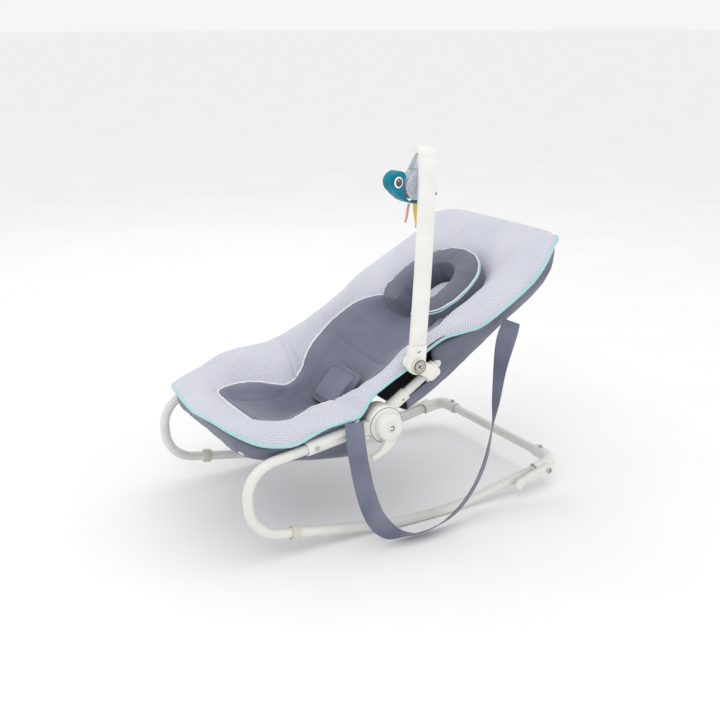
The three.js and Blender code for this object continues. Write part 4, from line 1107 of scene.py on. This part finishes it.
for side_name, side in SIDES:
    rows = spline([(x, side * y, z, wx, side * wy, wz) for x, y, z, wx, wy, wz in CARRY_ROUTE], 120)
    strap = ribbon(f"carry_webbing_{side_name}", rows[:, :3], rows[:, 3:], 19, 0.8, M_WEBBING, crown=1.4)
    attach(strap, "backrest")
    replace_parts(strap, f"carry_strap_{side_name}")
    route = [(x, side * y, z) for x, y, z in WAIST_ROUTE]
    path = spline(route, 30)
    waist = ribbon(f"waist_webbing_{side_name}", path, np.tile((23, 0, 21.0), (30, 1)), 14.5, 1.0, M_DARK_WEB)
    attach(waist, "base")
    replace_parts(waist, f"waist_strap_{side_name}")


# ---------------------------------------------------------------- toy details
def toy_way(x, y, z):
    """A direction of the bird's own frame in the row's frame."""
    c, s = math.cos(TOY_YAW), math.sin(TOY_YAW)
    return np.array([c * x - s * y, s * x + c * y, z])


def toy_point(x, y, z):
    return np.array(TOY_CENTRE) + toy_way(x, y, z)


def dome(name, centre, axis, radius, rise, material, body, rings=8, segments=36):
    """A shallow closed dome on a disc facing along axis."""
    axis = np.array(axis, float)
    u = np.cross(axis, (0.1, 0.2, 1.0))
    u /= np.linalg.norm(u)
    w = np.cross(axis, u)
    verts = [centre + axis * rise]
    for r in range(1, rings + 1):
        share = r / rings
        lift = rise * math.sqrt(max(0.0, 1 - share ** 2.6))
        for k in range(segments):
            angle = 2 * math.pi * k / segments
            verts.append(centre + (u * math.cos(angle) + w * math.sin(angle)) * radius * share + axis * lift)
    faces = [(0, 1 + k, 1 + (k + 1) % segments) for k in range(segments)]
    faces += grid_faces(rings, segments, wrap_cols=True, offset=1)
    rim = 1 + (rings - 1) * segments
    foot = len(verts)
    verts.append(centre - axis * 1.0)
    faces += [(foot, rim + (k + 1) % segments, rim + k) for k in range(segments)]
    made = new_object(name, verts, faces, [material])
    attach(made, body)
    return made


EYE = (-45, 12)
for side_name, side in SIDES:
    face = side * 16.2
    out = toy_way(0, side, 0)
    white = dome(f"eye_white_{side_name}", toy_point(EYE[0], face, EYE[1]), out, 10.6, 1.5,
                 M_EYE_WHITE, "toy")
    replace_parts(white, f"toy_eye_{side_name}")
    dark = dome(f"eye_iris_{side_name}", toy_point(EYE[0], face + side, EYE[1]), out, 7.6, 1.6,
                M_EYE_DARK, "toy")
    glint = dome(f"eye_glint_{side_name}", toy_point(EYE[0] - 2, face + side * 2.3, EYE[1] + 3), out,
                 1.4, 0.5, M_EYE_WHITE, "toy", rings=4, segments=16)

WING_LINE = [(-25.4, 2), (-21, -11), (-12, -21), (0, -26), (14, -23), (28, -12), (41, 2), (48, 20),
             (37, 44), (18, 40), (-6, 25), (-18, 15)]
for side_name, side in SIDES:
    loop = spline(WING_LINE, 110, closed=True)
    path = laid_on(wing, np.array([toy_point(x, side * 13.5, z) for x, z in loop]), 0.3)
    edge = tube(f"wing_piping_{side_name}", path, 1.0, M_WING_EDGE, closed=True, sides=8)
    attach(edge, "toy")


def toy_ribbon(name, centre_line, half, y, material, node):
    rows = spline([(x, y + dy, z) for x, dy, z in centre_line], 24)
    path = np.array([toy_point(*row) for row in rows])
    made = ribbon(name, path, np.tile(toy_way(1.0, 0.12, 0), (24, 1)), half, 0.5, material, crown=0.6)
    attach(made, "toy")
    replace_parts(made, node)
    return made


toy_ribbon("yellow_tail_ribbon", [(14, 0, -33), (15.5, 1.2, -48), (17.5, -1.0, -64), (19.5, 0.5, -78)],
           8.2, 0, M_YELLOW, "toy_ribbon_yellow")
toy_ribbon("pink_tail_ribbon", [(-1, 0, -33), (-3.5, 1, -46), (-6.5, 0, -57), (-9, 1, -67)], 3.4, 3, M_PINK,
           "toy_ribbon_pink")
toy_ribbon("white_side_tag", [(48, 0, 3), (54, 0.5, 1), (61, 0, -1)], 6.6, 2, M_WHITE_PIPE, "toy_tail_tag")
strap_rows = spline([(-1.6, 0, 31, 6.5), (-1.6, -10.2, 49, 6.4), (-1.6, -17, 61, 3.2)], 24)
strap_path = np.array([toy_point(*row[:3]) for row in strap_rows])
hang = ribbon("toy_hanging_loop", strap_path, np.tile(toy_way(1.0, 0, 0), (24, 1)),
              strap_rows[:, 3], 1.1, M_WING_EDGE)
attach(hang, "toy")
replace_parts(hang, "toy_strap")


# ---------------------------------------------------------------- small moulded marks, mostly dark lines of painted shade in recesses, seams and grooves
def torus_arc(name, centre, axis, radius, thick, start, end, material, body):
    axis = np.array(axis, float)
    u = np.cross(axis, (0, 0, 1.0))
    u /= np.linalg.norm(u)
    w = np.cross(axis, u)
    closed = abs(end - start) >= 359
    angles = np.radians(np.linspace(start, end, 48, endpoint=not closed))
    path = np.array([centre + radius * (u * math.cos(a) + w * math.sin(a)) for a in angles])
    made = tube(name, path, thick, material, closed=closed, sides=8)
    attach(made, body)
    return made


# The dark arcs in the lever cap and stand screw recesses and along the hub seam are painted shade; the lever
# seam is drawn in white plastic.
for side_name, side in SIDES:
    out = np.array([0, side, 0.0])
    cap = np.array([HUB[0], side * 246.0, HUB[1]])
    torus_arc(f"cap_recess_shade_{side_name}", cap, out, 4.2, 0.8, 40, 320, M_GROOVE_SHADE, f"lever_{side_name}")
    torus_arc(f"hub_seam_shade_{side_name}", np.array([HUB[0], side * 225.2, HUB[1]]), out, 34.2, 0.5, 0, 360,
              M_GROOVE_SHADE, "base")
    torus_arc(f"lever_seam_{side_name}", np.array([HUB[0], side * 244.6, HUB[1]]), out, 22.4, 0.35, 0, 360,
              M_PLASTIC, f"lever_{side_name}")
    rear = np.array([STAND_PIVOT[0], side * 238.0, STAND_PIVOT[1]])
    torus_arc(f"stand_recess_shade_{side_name}", rear, out, 3.4, 0.6, 30, 330, M_GROOVE_SHADE, "base")

lean = np.array([math.sin(ARM_LEAN), 0, math.cos(ARM_LEAN)])
arm_across = np.array([math.cos(ARM_LEAN), 0, -math.sin(ARM_LEAN)])
arm_foot = np.array([ARM_PIVOT[0], 0, ARM_PIVOT[1]])
slot_middle = arm_foot + lean * 27 + np.array([0, -229.2, 0])
slot_path = np.array([slot_middle + (arm_across * 0.8 + lean * 0.45) * k for k in np.linspace(-3.5, 3.5, 8)])
# The slot in the arm is a dark line of painted shade.
slot_shade = tube("arm_slot_mark", slot_path, 0.9, M_GROOVE_SHADE, sides=8)
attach(slot_shade, "toy_arm")
knob_centre = arm_foot + np.array([0, -236.6, 0])
# The groove round the knob is a dark ring of painted shade.
torus_arc("knob_ring_mark", knob_centre, (0, -1, 0), 12.9, 0.7, 0, 360, M_GROOVE_SHADE, "toy_arm")
# The screw's cross recess is drawn as two dark bars of painted shade.
for turn in (35, 125):
    way = arm_across * math.cos(math.radians(turn)) + lean * math.sin(math.radians(turn))
    bar_path = np.array([arm_foot + np.array([0, -236.2, 0]) + way * k for k in np.linspace(-4.6, 4.6, 8)])
    cross = tube(f"screw_recess_{turn}", bar_path, 0.9, M_GROOVE_SHADE, sides=8)
    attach(cross, "toy_arm")

# ---------------------------------------------------------------- stage
floor_mesh = bpy.data.meshes.new("floor")
floor_mesh.from_pydata([(-90, -90, 0), (90, -90, 0), (90, 90, 0), (-90, 90, 0)], [], [(0, 1, 2, 3)])
floor = bpy.data.objects.new("floor", floor_mesh)
bpy.context.scene.collection.objects.link(floor)
ground = Surface("floor_white", 0.85)
FLOOR_DARK, FLOOR_PALE = (0.93, 0.93, 0.93, 1), (0.95, 0.95, 0.95, 1)
ground.colour(ground.mix(ground.ramp(ground.noise(3, 2), 0, 1, 0.4, 0.7), FLOOR_DARK, FLOOR_PALE))
floor_mesh.materials.append(ground.material)

world = bpy.data.worlds.new("studio")
world.use_nodes = True
world.node_tree.nodes["Background"].inputs[0].default_value = (1.0, 1.0, 1.0, 1)
world.node_tree.nodes["Background"].inputs[1].default_value = 0.92
bpy.context.scene.world = world
bpy.context.scene.view_settings.view_transform = "Standard"


def area_light(name, place_at, target, size, power):
    light = bpy.data.lights.new(name, "AREA")
    light.shape = "DISK"
    light.size = size
    light.energy = power
    lamp = bpy.data.objects.new(name, light)
    lamp.location = place_at
    lamp.rotation_euler = (Vector(target) - Vector(place_at)).to_track_quat("-Z", "Y").to_euler()
    bpy.context.scene.collection.objects.link(lamp)


area_light("key", (-1.9, -1.7, 2.6), (0, 0, 0.25), 1.8, 15)
area_light("fill", (2.2, -2.2, 1.7), (0, 0, 0.25), 2.4, 5)
area_light("rim", (0.6, 2.4, 2.2), (0, 0, 0.3), 2.0, 6)
area_light("overhead", (0, 0, 3.2), (0, 0, 0), 2.6, 8)

CAMERA_PLACE = (-1.063, -1.787, 0.952)
AZIMUTH, ELEVATION = math.radians(30.38), math.radians(17.94)
level = math.cos(ELEVATION)
look = Vector((math.sin(AZIMUTH) * level, math.cos(AZIMUTH) * level, -math.sin(ELEVATION)))
lens = bpy.data.cameras.new("camera")
lens.sensor_width = 36
lens.lens = 52.5
camera = bpy.data.objects.new("camera", lens)
camera.location = CAMERA_PLACE
camera.rotation_euler = look.to_track_quat("-Z", "Y").to_euler()
bpy.context.scene.collection.objects.link(camera)
bpy.context.scene.camera = camera
